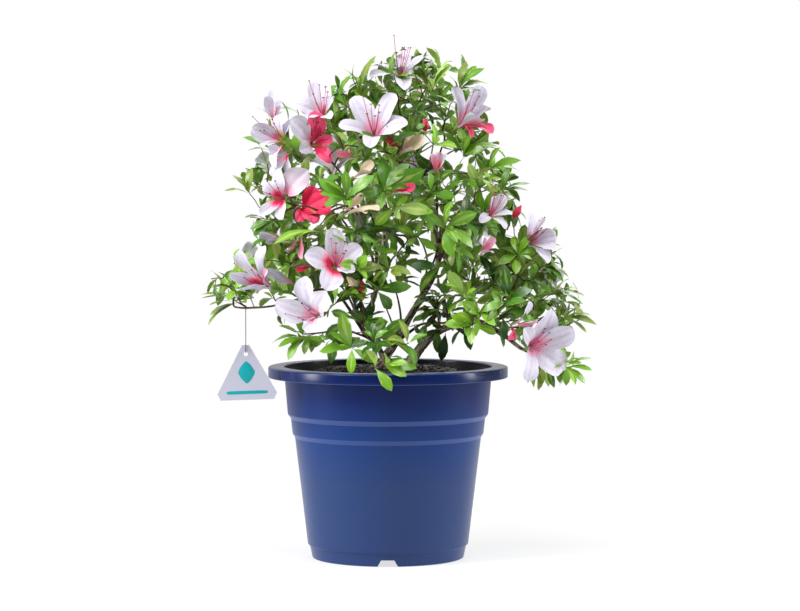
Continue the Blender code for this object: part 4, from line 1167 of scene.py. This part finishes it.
def growTwigs(goals, headings):
    # each goal, nearest to the limbs first, is joined to the node that it lies most straight ahead of, by a
    # Hermite curve with a slight crook; a twig's radius is radius * (tips beyond it) ^ power
    starts, ways = [], []
    for path, _, thick in limbs.values():
        share, stride = growth["fromStem" if thick else "fromBough"]
        pick = slice(int(len(path) * share), None, stride)
        starts.append(path[pick])
        ways.append(unit(np.gradient(path, axis=0))[pick])
    starts, ways = np.concatenate(starts), np.concatenate(ways)
    stations, count = growth["stations"], len(starts)
    room = count + len(goals) * stations
    place, way = np.zeros((room, 3)), np.zeros((room, 3))
    parent, load = np.full(room, -1), np.zeros(room)
    place[:count], way[:count] = starts, ways
    order = np.argsort(np.linalg.norm(goals[:, None] - starts[None], axis=-1).min(1))
    turnTip, turnRoot = growth["turning"]
    keep, full = growth["sweep"]
    t = np.linspace(0, 1, stations)[:, None]
    twigs = []
    for k in order:
        gap = goals[k] - place[:count]
        far = np.maximum(np.linalg.norm(gap, axis=1), 1e-6)
        ahead = gap @ headings[k] / far
        along = (gap * way[:count]).sum(1) / far
        cost = far * (1 + turnTip * (1 - ahead) + turnRoot * (1 - along)) + 10.0 * (far < growth["closest"])
        root = int(np.argmin(cost))
        reach = far[root]
        lead = unit(keep * way[root] + gap[root] / reach) * reach * full
        arrive = headings[k] * reach * full
        curve = (2 * t**3 - 3 * t**2 + 1) * place[root] + (t**3 - 2 * t**2 + t) * lead
        curve = curve + (3 * t**2 - 2 * t**3) * goals[k] + (t**3 - t**2) * arrive
        curve = curve + dice.normal(size=(stations, 3)) * growth["crook"] * reach * np.sin(math.pi * t)
        index = np.arange(count, count + stations)
        place[index] = curve
        way[index] = unit(np.gradient(curve, axis=0))
        parent[index] = np.concatenate([[root], index[:-1]])
        twigs.append(index)
        count += stations
    for index in twigs:
        node = index[-1]
        while node >= 0:
            load[node] += 1
            node = parent[node]
    index = np.array(twigs)
    radius = growth["radius"] * load[index] ** growth["power"]
    radius[:, 0] = radius[:, 1]
    return place[index], radius, order


def twigRings(path, radius, sides, seed):
    # rings round each path, their radius uneven by chance: path + radius * (1 + chance) * circle; a straight
    # path gets a hair's bend first, so that its frame is known
    bend = 1e-5 * np.array([1.0, 2.0, 0.5])
    across, other = pathFrames(path + np.linspace(0, 1, path.shape[1])[:, None] ** 2 * bend)
    turn = np.linspace(0, fullTurn, sides, endpoint=False)
    chance = np.random.default_rng(seed).random(path.shape[:2] + (sides,)) - 0.5
    circle = np.cos(turn)[:, None] * across[..., None, :] + np.sin(turn)[:, None] * other[..., None, :]
    return path[..., None, :] + circle * (radius[..., None] * (1 + growth["uneven"] * chance))[..., None]


tones = {  # upper side, underside, midrib
    "deep": ((30, 65, 17), (90, 116, 48), (42, 78, 23)),
    "dark": ((47, 93, 22), (109, 140, 56), (63, 107, 30)),
    "mid": ((77, 129, 30), (133, 159, 69), (94, 142, 41)),
    "leaf": ((100, 157, 37), (150, 178, 80), (118, 170, 50)),
    "olive": ((118, 144, 46), (154, 170, 78), (134, 158, 59)),
    "fresh": ((114, 168, 38), (160, 189, 86), (135, 182, 54)),
    "bright": ((126, 184, 36), (171, 200, 91), (150, 199, 57)),
    "lime": ((138, 194, 42), (182, 211, 94), (161, 208, 62)),
    "pale": ((162, 200, 96), (197, 215, 121), (181, 214, 109)),
}
younger = {
    "deep": "mid", "dark": "leaf", "mid": "fresh", "leaf": "fresh", "olive": "leaf", "fresh": "bright",
    "bright": "lime", "lime": "pale", "pale": "pale",
}
dealt = ["dark", "mid", "mid", "leaf", "leaf", "olive", "fresh", "mid", "deep", "bright"]
leafForm = {
    "along": [0.0, 0.08, 0.24, 0.44, 0.64, 0.85, 1.0],
    "halfWidth": [0.06, 0.10, 0.50, 0.86, 1.0, 0.66, 0.03],
    "across": [1.0, 0.5, 0.05, -0.05, -0.5, -1.0, -0.45, 0.45],  # there over the upper side, back under it
    "columns": [0, 0, 2, 0, 0, 1, 1, 1],  # 0 upper side, 1 underside, 2 midrib
    "arch": 0.10,  # of the blade's length
    "dish": 0.16,  # of its half width
    "wave": (0.09, 7, 1.3),  # height, how many along the leaf, and the step between its sides
    "thick": 0.00022,
    "finish": [  # roughness, bump, its depth, specular
        ((0.24, 0.42), 0.25, 0.0002, 0.6),
        ((0.5, 0.7), 0.25, 0.0002, 0.3),
        ((0.4, 0.55), 0.15, 0.0001, 0.4),
    ],
}
whorl = {
    "goldenAngle": 2.39996,
    "turnChance": 0.25,
    "lean": (86, 52, 1.3, 9),  # of the lowest leaf in degrees, fall to the top one, its power, and chance
    "size": (1.06, 0.52, 1.6),  # of the lowest leaf, fall to the top one, and its power
    "sizeChance": (0.84, 1.1),
    "axisLength": 0.006,
    "gap": 0.0008,
    "youngFrom": 0.72,  # leaves above this share of the whorl are younger
    "width": (0.37, 0.46),
    "fold": (0.15, 0.5),
    "droop": (0.0, 0.45),
}
leafRows = []  # base, direction, upper side, length, width, fold, droop, tone


def addLeaf(base, direction, upper, length, tone, width, fold, droop):
    leafRows.append((*base, *direction, *upper, length, width, fold, droop, list(tones).index(tone)))


def addWhorl(place, heading, length, count, tone, open=1.0):
    # leaves round a shoot's tip by the golden angle: outer ones lie flat, inner ones stand up and are smaller
    aside = unit(np.cross(heading, unit(dice.normal(size=3))))
    beside = np.cross(heading, aside)
    start = dice.uniform(0, fullTurn)
    chance = whorl["turnChance"]
    flat, fall, power, tilt = whorl["lean"]
    large, shrink, curve = whorl["size"]
    for i in range(count):
        share = (i + 0.5) / count
        turn = start + i * whorl["goldenAngle"] + dice.uniform(-chance, chance)
        lean = math.radians(flat - fall * share**power + dice.uniform(-tilt, tilt)) * open
        out = math.cos(turn) * aside + math.sin(turn) * beside
        direction = unit(math.cos(lean) * heading + math.sin(lean) * out + 0.06 * up)
        upper = heading * math.sin(lean) - out * math.cos(lean) + 0.25 * up + 0.14 * dice.normal(size=3)
        size = length * (large - shrink * share**curve) * dice.uniform(*whorl["sizeChance"])
        base = place - heading * whorl["axisLength"] * (1 - share) + direction * whorl["gap"]
        if hidden(base + direction * size * 0.6) or hidden(base + direction * size):
            continue
        shade = younger[tone] if share > whorl["youngFrom"] else tone
        form = [dice.uniform(*whorl[part]) for part in ("width", "fold", "droop")]
        addLeaf(base, direction, unit(upper), size, shade, *form)


def leafRings(rows):
    # a blade: middle line = base + L (t along + arch sin(pi t) - droop t^2.2 / 2), its half width a rounded
    # lance, sides folded up by the fold angle and dished, margins waving a little; the underside lies a
    # blade's thickness below
    base, direction, upper = rows[:, None, 0:3], rows[:, None, 3:6], rows[:, None, 6:9]
    length, width, fold, droop = (rows[:, 9 + k, None, None] for k in range(4))
    upper = unit(upper - (upper * direction).sum(-1, keepdims=True) * direction)
    t = np.array(leafForm["along"])[None, :, None]
    form = np.array(leafForm["halfWidth"])[None, :, None]
    rise = leafForm["arch"] * np.sin(math.pi * t) - 0.5 * droop * t**2.2
    line = base + length * (direction * t + upper * rise)
    heading = unit(np.gradient(line, axis=1))
    side = unit(np.cross(upper, heading))
    above = np.cross(heading, side)
    s = np.array(leafForm["across"])[None, None, :, None]
    half = (0.5 * length * width * form)[..., None]
    phase = np.random.default_rng(7).uniform(0, fullTurn, (len(rows), 1, 1, 1))
    high, waves, step = leafForm["wave"]
    wave = high * np.sin(waves * t[..., None] + phase + step * np.sign(s)) * np.abs(s) ** 2
    lift = np.abs(s) * np.sin(fold)[..., None] - leafForm["dish"] * s**2 + wave
    flat = side[:, :, None] * s * half * np.cos(fold)[..., None]
    rings = line[:, :, None] + flat + above[:, :, None] * lift * half
    below = np.zeros((1, 1, s.shape[2], 1))
    below[:, :, leafForm["columns"].index(1) + 1 :] = leafForm["thick"]
    edge = np.clip(form * 3, 0, 1)[..., None]
    return rings - above[:, :, None] * below * edge


print("growth rules ready")

petalTones = {
    "white": (217, 212, 227),
    "milk": (219, 202, 217),
    "blush": (227, 187, 206),
    "rose": (240, 166, 192),
    "pink": (248, 138, 174),
    "coral": (252, 114, 154),
    "hot": (250, 84, 130),
    "crimson": (224, 34, 84),
    "cream": (222, 202, 174),
    "rib": (207, 200, 218),
}
flowerForm = {
    "along": 17,  # stations along a petal
    "across": 13,  # points across its upper side
    "crowding": 0.9,  # below 1 sets the first stations wider apart
    "tube": 0.013,
    "tubeRadius": 0.0016,
    "throat": 0.0030,  # radius
    "throatRise": 0.001,
    "fullSize": 0.03,  # shorter petals have a shorter tube
    "leastTube": 0.45,
    "belly": (0.62, 0.0075),  # share of the way to the tip, and height above it
    "steady": 0.6,  # how much of its side direction a petal keeps all along
    "width": 0.250,  # half width, of the petal's length
    "widthChance": (0.9, 1.12),
    "broad": 1.24,  # times the width of a broad petal
    "narrow": 0.13,  # the tube's share of the width
    "opens": (0.12, 0.46),  # where a petal starts to widen, and over how long
    "closes": (0.60, 0.405, 2.4, 0.62),  # where it starts to close, over how long, and its two powers
    "rolled": 0.34,  # how far along it is rolled about the axis
    "cups": (0.9, 0.16),  # of the rolled part and of the blade
    "ruffle": (0.19, 9, 2.1, 2.5),  # height, waves along, step across, and how fast it grows to the margin
    "crease": (0.10, 0.16),  # depth and half width
    "thick": 0.00018,
    "stamens": 6,
    "spread": 0.34,  # of the stamens away from the axis
    "filament": 0.0245,
    "filamentRise": 0.008,
    "longest": 1.35,  # the pistil, times a filament
    "open": 62,  # degrees from the axis, for a flower whose tips aren't given
    "cup": 0.010,  # length of the green cup
    "ribs": (2, 5, 6, 9, 14, 17, 18, 21),  # the columns of faces that have a vein
}
petalRows, petalKinds = [], []  # throat, axis, outward, tip, size, phase, width; and a letter
stamenRows, cupRows, budRows = [], [], []


def addFlower(throat, axis, tips, kinds, stamens):
    # petals from a narrow tube behind the throat out to the given tips, measured from the throat; an
    # upper-case letter is a broad petal
    for tip, kind in zip(tips, kinds):
        out = unit(tip - (tip @ axis) * axis)
        wide = dice.uniform(*flowerForm["widthChance"]) * (flowerForm["broad"] if kind.isupper() else 1.0)
        petalRows.append((*throat, *axis, *out, *tip, np.linalg.norm(tip), dice.uniform(0, 6.28), wide))
        petalKinds.append(kind.lower())
    a = unit(np.cross(axis, np.array([0.31, 0.2, 0.93])))
    b = np.cross(axis, a)
    for k in range(flowerForm["stamens"] if stamens else 0):
        turn = fullTurn * k / flowerForm["stamens"] + dice.uniform(-0.3, 0.3)
        aside = math.cos(turn) * a + math.sin(turn) * b
        direction = unit(axis + flowerForm["spread"] * aside + 0.12 * up)
        longer = flowerForm["longest"] if k == 0 else dice.uniform(0.75, 1.05)
        length = flowerForm["filament"] * longer
        stamenRows.append((*(throat - axis * 0.006), *direction, length, float(k == 0)))


def genericTips(axis, length, side):
    # five tips evenly round the axis, opened wide from it
    a = unit(np.cross(axis, side))
    b = np.cross(axis, a)
    start = dice.uniform(0, fullTurn)
    tips = []
    for k in range(5):
        turn = start + fullTurn * k / 5 + dice.uniform(-0.12, 0.12)
        lean = math.radians(flowerForm["open"] + dice.uniform(-10, 12))
        out = math.cos(turn) * a + math.sin(turn) * b
        tips.append(length * dice.uniform(0.88, 1.06) * (math.cos(lean) * axis + math.sin(lean) * out))
    return np.array(tips)


def petalRings():
    # middle line: a cubic Bezier from the tube's foot through the throat to the tip; half width grows from
    # the tube, is widest near two thirds and rounds to a blunt point; the tube part is rolled about the axis,
    # the blade is cupped a little, creased along its middle and ruffled at its margins
    form = flowerForm
    rows = np.array(petalRows)
    throat, axis, out, tip = (rows[:, None, 3 * k : 3 * k + 3] for k in range(4))
    size, phase, wide = (rows[:, 12 + k, None, None] for k in range(3))
    t = np.linspace(0, 1, form["along"])[None, :, None] ** form["crowding"]
    short = np.clip(size / form["fullSize"], form["leastTube"], 1.0)
    foot = throat - axis * form["tube"] * short + out * form["tubeRadius"]
    gate = throat + out * form["throat"] * short + axis * form["throatRise"]
    belly = throat + form["belly"][0] * tip + axis * (form["belly"][1] * short)
    line = (1 - t) ** 3 * foot + 3 * t * (1 - t) ** 2 * gate
    line = line + 3 * t**2 * (1 - t) * belly + t**3 * (throat + tip)
    heading = unit(np.gradient(line, axis=1))
    side = unit(np.cross(axis, heading) + 1e-6 * np.cross(out, axis))
    side = unit(side[:, -4:-3] * form["steady"] + side * (1 - form["steady"]))
    inner = np.cross(heading, side)
    first, length = form["opens"]
    grow = np.clip((t - first) / length, 0, 1)
    last, length, power, root = form["closes"]
    close = np.clip(1 - np.clip((t - last) / length, 0, 1) ** power, 0, 1) ** root
    shape = (form["narrow"] + (1 - form["narrow"]) * grow * grow * (3 - 2 * grow)) * close
    half = (form["width"] * size * wide * shape)[..., None]
    top = np.linspace(1, -1, form["across"])
    s = np.concatenate([top, top[1:-1][::-1]])[None, None, :, None]
    t = t[..., None]
    roll = np.clip(1 - t / form["rolled"], 0, 1)
    high, waves, step, power = form["ruffle"]
    ruffle = high * np.sin(waves * t + phase[..., None] + step * s)
    ruffle = ruffle * np.abs(s) ** power * np.clip(3 * t - 0.9, 0, 1)
    deep, narrow = form["crease"]
    crease = -deep * np.exp(-((s / narrow) ** 2)) * np.clip(2 * t, 0, 1)
    tubeCup, bladeCup = form["cups"]
    cup = (tubeCup * roll + bladeCup * (1 - roll)) * s**2
    rings = line[:, :, None] + side[:, :, None] * s * half * (1 - 0.12 * roll * s**2)
    rings = rings + inner[:, :, None] * half * (cup + ruffle + crease)
    under = np.zeros((1, 1, s.shape[2], 1))
    under[:, :, form["across"] :] = form["thick"]
    return rings - inner[:, :, None] * under * np.clip(shape * 4, 0, 1)[..., None]


def petalFaceTones(tubes, stations, sides):
    # each face of a petal gets a tone by its place: v runs from the throat's mouth to the tip, s from the
    # middle line to the margin; heat 0 is white and 1 is crimson
    names, last = list(petalTones), flowerForm["across"] - 1
    t = ((np.arange(stations - 1) + 0.5) / (stations - 1))[None, :, None]
    v = np.clip((t - 0.26) / 0.74, 0, 1)
    column = np.arange(sides)
    s = np.where(column < last, 1 - 2 * (column + 0.5) / last, -1 + 2 * (column - last + 0.5) / last)
    s = np.abs(s)[None, None, :]
    under = (column >= last)[None, None, :]
    luck = np.random.default_rng(17).random((tubes, stations - 1, sides)) - 0.5
    kind = np.array(petalKinds)[:, None, None]
    flush = 0.52 * np.exp(-((v / 0.17) ** 2)) * (1 - 0.4 * s)
    streak = 0.62 * np.exp(-((s / 0.2) ** 2)) * np.clip(1 - v / 0.55, 0, 1)
    blotch = np.clip(1.35 - v / 0.34 - 0.45 * s**2, 0, 1.0)
    heats = {
        "w": flush,
        "s": np.maximum(flush, streak) + 0.05,
        "b": np.maximum(blotch, 0.22 * np.clip(1 - v, 0, 1)),
        "p": 0.34 + 0.3 * (1 - v) - 0.12 * s,
        "h": 0.84 - 0.16 * s * v + 0.1 * (1 - v),
        "c": 0.97 - 0.1 * v * s,
        "e": flush,
        "q": 0.14 + 0.4 * np.exp(-((v / 0.3) ** 2)) * (1 - 0.5 * s),
    }
    heat = sum(np.where(kind == letter, value, 0.0) for letter, value in heats.items())
    heat = heat * np.where(under & (kind != "c") & (kind != "h"), 0.45, 1.0) + 0.05 * luck
    tone = np.clip((heat * 7.99).astype(int), 0, 7)
    tone = np.where((kind == "e") & (heat < 0.3), names.index("cream"), tone)
    ribs = np.isin(column, flowerForm["ribs"])[None, None, :]
    tone = np.where(ribs & (tone == 0) & (v < 0.85) & (luck > -0.3), names.index("rib"), tone)
    return tone.ravel()


def thinTubes(rows, back, length, lift, radii, sides, stations=7):
    # tubes that start a little back from each row's place and run along its direction, then rise by
    # lift * t^2.2; radii are spread evenly along them
    place, direction = rows[:, :3], rows[:, 3:6]
    length = np.broadcast_to(length, len(rows))[:, None, None]
    back = np.broadcast_to(back, len(rows))[:, None]
    t = np.linspace(0, 1, stations)[None, :, None]
    path = (place - direction * back)[:, None] + direction[:, None] * length * t + up * lift * t**2.2
    radius = np.interp(t[..., 0], np.linspace(0, 1, len(radii)), radii)
    return twigRings(path, np.broadcast_to(radius, path.shape[:2]), sides, 3), path


print("flower rules ready")

spray = {
    "shortest": 0.86,  # of the row's leaf length
    "longer": 1.03,  # than the distance to where the leaf points
    "forward": (0.8, 0.8, -0.7),  # share of the leaves that come forward, how far, and how far the others go
    "youngShare": 0.2,
    "width": (0.34, 0.41),
    "fold": (0.1, 0.3),
    "droop": (0.05, 0.4),
    "whorl": 0.78,  # of the row's leaf length
    "flowerWhorl": (0.019, 3, "mid", 1.1),  # leaf length, number, tone, how far it is opened
    "bloomWhorl": (0.022, 4, "leaf", 1.1),
    "budWhorl": (0.016, 3, "fresh"),
    "shootLength": (0.021, 0.029),
    "shootLeaves": (5, 8),
    "twigLeaves": (1, 4),
    "twigSteps": (4, 7),
    "twigLength": (0.017, 0.026),
    "twigWidth": (0.36, 0.44),
    "bloomLength": 0.033,
    "bloomKinds": ["wWwww", "swsws", "sWwws", "wsbsw", "wwsWw", "sbsws", "swwsw", "wwhsw"],
}


def growRosette(place, heading, row):
    # the leaves placed one by one, then a whorl of smaller ones
    depth, lean, length, count, tone, aims = row[2], *row[4:9]
    for aim in aims:
        way = alongSight(*aim, depth) - place
        flat = np.linalg.norm(way)
        size = max(length * mm * spray["shortest"], flat * spray["longer"])
        share, forward, back = spray["forward"]
        toward = math.sqrt(max(size**2 - flat**2, 0)) * (forward if dice.random() < share else back)
        overRim = place[1] < growth["rimFront"]
        if overRim:  # it stands clear of the rim's front and no further out
            toward = min(abs(toward), growth["rimReach"])
            size = math.hypot(flat, toward)
        direction = unit(way + toViewer * toward)
        upper = (1.15 - lean) * up + (0.15 + 0.9 * lean) * toViewer
        upper = upper + (0.1 + 0.25 * lean) * dice.normal(size=3)
        shade = younger[tone] if dice.random() < spray["youngShare"] else tone
        wide, fold, droop = (dice.uniform(*spray[part]) for part in ("width", "fold", "droop"))
        wide, droop = (0.88 + 0.3 * lean) * wide, spray["droop"][0] if overRim else droop
        addLeaf(place + direction * mm, direction, unit(upper), size, shade, wide, fold, droop)
    addWhorl(place, heading, length * mm * spray["whorl"], count, tone)


def growFlower(place, axis, row):
    # a flower with its green cup and a few leaves behind it
    addFlower(alongSight(*row[:3]), axis, np.array(row[7]) * mm, row[5], row[6])
    cupRows.append((*place, *axis))
    addWhorl(place - axis * 0.004, axis, *spray["flowerWhorl"])


def growBloom(place, heading, row):
    # a flower at the back, where none is listed
    axis = unit(heading + 0.2 * up)
    tips = genericTips(axis, spray["bloomLength"], unit(dice.normal(size=3)))
    addFlower(place + axis * flowerForm["tube"], axis, tips, spray["bloomKinds"][int(dice.integers(0, 8))], 1)
    cupRows.append((*place, *axis))
    addWhorl(place - axis * 0.004, axis, *spray["bloomWhorl"])


def growBud(place, heading, row):
    across, rise, letter = row[3:6]
    size = math.hypot(across, rise) * mm + 0.004
    budRows.append((*place, *unit(np.array([across, -1.5, rise])), size, "wce".index(letter)))
    addWhorl(place - heading * 0.002, heading, *spray["budWhorl"])


def growShoot(place, heading, row):
    # a whorl of leaves of a tone dealt by chance
    tone = dealt[int(dice.integers(0, len(dealt)))]
    length, count = dice.uniform(*spray["shootLength"]), int(dice.integers(*spray["shootLeaves"]))
    addWhorl(place, heading, length, count, tone)


def leavesAlong(path):
    # a few leaves back along the twig
    for _ in range(int(dice.integers(*spray["twigLeaves"]))):
        step = int(dice.integers(*spray["twigSteps"]))
        along = unit(path[step + 1] - path[step - 1])
        out = unit(np.cross(along, unit(dice.normal(size=3))))
        direction = unit(out + 0.5 * along + 0.2 * up)
        size = dice.uniform(*spray["twigLength"])
        if not hidden(path[step] + direction * size * 0.6):
            tone, wide = dealt[int(dice.integers(0, 8))], dice.uniform(*spray["twigWidth"])
            addLeaf(path[step], direction, unit(up + 0.3 * out), size, tone, wide, 0.25, 0.3)


def chooseBlooms(tips):
    # which shoot tips of the back masses bear a flower: the outermost that face the back, well apart
    nearest, furthest = growth["bloomDepths"]
    x, z, clear = growth["bloomGap"]
    bloomed = set()
    for mass, wanted in growth["bloomMasses"].items():
        centre, half = (np.array(v) * mm for v in masses[mass])
        out = (tips - centre) / half
        fit = (np.abs(out) < 1.1).all(1) & (tips[:, 1] > nearest) & (tips[:, 1] < furthest)
        fit = fit & ~outside(tips, -growth["bloomInside"])
        fit = fit & (np.linalg.norm(seenAt(tips) - np.array([x, z]) * mm, axis=1) > clear * mm)
        facing = np.linalg.norm(out, axis=1) * fit
        behind, aside = np.clip((tips - centre)[:, 1] * 20, 0, 1), np.clip(np.abs(tips[:, 0]) * 4, 0, 1)
        facing = facing * (0.4 + behind + aside)
        chosen = 0
        for k in np.argsort(-facing):
            apart = all(np.linalg.norm(tips[k] - tips[c]) > growth["bloomApart"] for c in bloomed)
            if chosen < wanted and apart:
                chosen += 1
                bloomed.add(int(k))
    return bloomed


# every shoot, flower and bud is a job: what grows there, its place, its heading and its row
jobs = [(growRosette, alongSight(*row[:3]), headingFrom(*row[3:5]), row) for row in rosettes]
for row in flowers:
    axis = headingFrom(*row[3:5])
    jobs.append((growFlower, alongSight(*row[:3]) - axis * flowerForm["tube"], axis, row))
for row in buds:
    jobs.append((growBud, alongSight(*row[:3]), unit(np.array([row[3], -2.0, row[4]])), row))
tips, ways = massTips()
bloomed = chooseBlooms(tips)
for k, (tip, way) in enumerate(zip(tips, ways)):
    jobs.append((growBloom if k in bloomed else growShoot, tip, way, None))
paths, radii, order = growTwigs(*(np.array([job[k] for job in jobs]) for k in (1, 2)))
twigOf = np.argsort(order)
print("twigs:", len(jobs))
for k, (grow, place, heading, row) in enumerate(jobs):
    grow(place, heading, row)
    if grow in (growRosette, growShoot, growBloom):
        leavesAlong(paths[twigOf[k]])

twigBark = makeMaterial("twig bark", colour(88, 62, 46), (0.6, 0.9), 1500.0, 0.5, 0.0002, 0.3)
youngBark = makeMaterial("young shoot", colour(112, 96, 56), (0.5, 0.8), 1500.0, 0.3, 0.0001, 0.3)
rings = twigRings(paths, radii, growth["sides"], 9)
thick = radii[:, 1] > growth["radius"] * growth["thick"]
makePiece("twigs", joinRings(rings[thick]), [twigBark], sharp=80)
makePiece("young_shoots", joinRings(rings[~thick]), [youngBark], sharp=80)

leafTable = np.array(leafRows)
leafTable = leafTable[leafTable[:, 1] + leafTable[:, 4] * leafTable[:, 9] > growth["frontLimit"]]
leafPieces = []
for index, (tone, tints) in enumerate(tones.items()):
    rings = leafRings(leafTable[leafTable[:, -1] == index])
    columns = np.tile(leafForm["columns"], len(rings) * (rings.shape[1] - 1))
    paint = np.concatenate([columns, np.zeros(2 * len(rings), int)])
    materials = [
        makeMaterial(f"leaf {tone}{side}", colour(*tint), rough, 900.0, *finish)
        for side, tint, (rough, *finish) in zip(("", " underside", " midrib"), tints, leafForm["finish"])
    ]
    leafPieces.append(makePiece(f"leaves_{tone}", joinRings(rings), materials, paint, sharp=70))
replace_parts(leafPieces[0], *[node for node in nodes if node.startswith("leaves_")])
print("leaves:", len(leafTable))

rings = petalRings()
paint = np.concatenate([petalFaceTones(*rings.shape[:3]), np.full(2 * len(rings), 2)])
materials = [
    makeMaterial(f"petal {name}", colour(*tint), (0.42, 0.6), 700.0, 0.25, 0.0002, 0.35, 0.1)
    for name, tint in petalTones.items()
]
makePiece("petals", joinRings(rings), materials, paint, sharp=75)

rows = np.array(stamenRows)
tubes, spines = thinTubes(rows, 0, rows[:, 6], flowerForm["filamentRise"], [0.00034, 0.00026], 5)
filament = makeMaterial("filament", colour(196, 62, 112), (0.4, 0.5), 900.0, 0.1)
makePiece("filaments", joinRings(tubes), [filament], sharp=80)
size = np.where(rows[:, 7] > 0.5, 0.0007, 0.0011)
anthers = np.hstack([spines[:, -1], unit(np.cross(rows[:, 3:6], up))])
spindles = thinTubes(anthers, size, 2 * size, 0, [0.0002, 0.00055, 0.0006, 0.00055, 0.0002], 6, 6)[0]
anther = makeMaterial("anther", colour(70, 26, 44), (0.6, 0.8), 900.0, 0.3)
makePiece("anthers", joinRings(spindles), [anther], sharp=60)

cup = flowerForm["cup"]
cups = thinTubes(np.array(cupRows), cup / 2, cup, 0, [0.0006, 0.0012, 0.0022, 0.0025, 0.0019], 9, 8)[0]
green = makeMaterial("flower cup", colour(122, 150, 70), (0.5, 0.7), 900.0, 0.3)
makePiece("flower_cups", joinRings(cups), [green], sharp=60)

rows = np.array(budRows)
shapes = thinTubes(rows, 0, rows[:, 6], 0, [0.0012, 0.0030, 0.0038, 0.0032, 0.0018, 0.0003], 9, 10)[0]
budTints = {"white": (240, 232, 236), "crimson": (196, 20, 66), "cream": (226, 200, 168)}
materials = [makeMaterial(f"bud {n}", colour(*tint), (0.4, 0.6), 700.0, 0.3) for n, tint in budTints.items()]
pick = rows[:, 7].astype(int)
paint = np.concatenate([pick.repeat((shapes.shape[1] - 1) * shapes.shape[2]), pick, pick])
makePiece("buds", joinRings(shapes), materials, paint, sharp=60)
print("flowers:", len(petalRows), "petals")

tag = {
    "hole": (-0.1272, -0.060, 0.1907),
    "thickness": 0.0008,
    "tilt": 2.0,
    "leaf": (0.0150, 0.0200, -0.0165, 1.35),  # width, height, how far its middle lies below the hole, power
    "bar": (0.0370, 0.0030, -0.0345, 6.0),
    "raised": 0.00012,
    "layers": ((0.0, -0.5), (0.0, 0.6), (0.00015, 1.0)),  # how far each ring is drawn in, and its height
    "corners": 40,
}


def tagShape(across, high, drop, power):
    # a flat outline |x / across|^power + |z / high|^power = 1 standing a hair proud of the plate's face
    turn = np.linspace(0, fullTurn, tag["corners"], endpoint=False)
    x, z = (np.sign(f) * np.abs(f) ** (2 / power) for f in (np.cos(turn), np.sin(turn)))
    tilt = math.radians(tag["tilt"])
    right, above = np.array([[math.cos(tilt), 0, math.sin(tilt)], [-math.sin(tilt), 0, math.cos(tilt)]])
    rings = []
    for inset, lift in tag["layers"]:
        u, v = x * (across / 2 - inset), drop + z * (high / 2 - inset)
        front = tag["thickness"] / 2 + lift * tag["raised"]
        rings.append(np.array(tag["hole"]) + u[:, None] * right + v[:, None] * above + front * toViewer)
    return np.array(rings)[None]


def dressTag():
    plate = makeMaterial("tag plastic", colour(190, 191, 207), (0.28, 0.42), 1200.0, 0.15, 0.0001, 0.5)
    wire = makeMaterial("tag wire", colour(110, 106, 112), (0.25, 0.4), 2000.0, 0.1, 0.00005, 0.5)
    fillSockets(wire, wire.node_tree.nodes["Principled BSDF"], {"Metallic": 0.8})
    for node, material in (("tag_plate", plate), ("tag_wire", wire)):
        nodes[node].data.materials.clear()
        nodes[node].data.materials.append(material)
    teal = makeMaterial("tag ink", colour(0, 160, 168), (0.35, 0.5), 1500.0, 0.1, 0.0001, 0.4)
    marks = joinRings(tagShape(*tag["leaf"]), tagShape(*tag["bar"]))
    makePiece("tag_print", marks, [teal], sharp=40, body="tag")


dressTag()
print("tag ready")
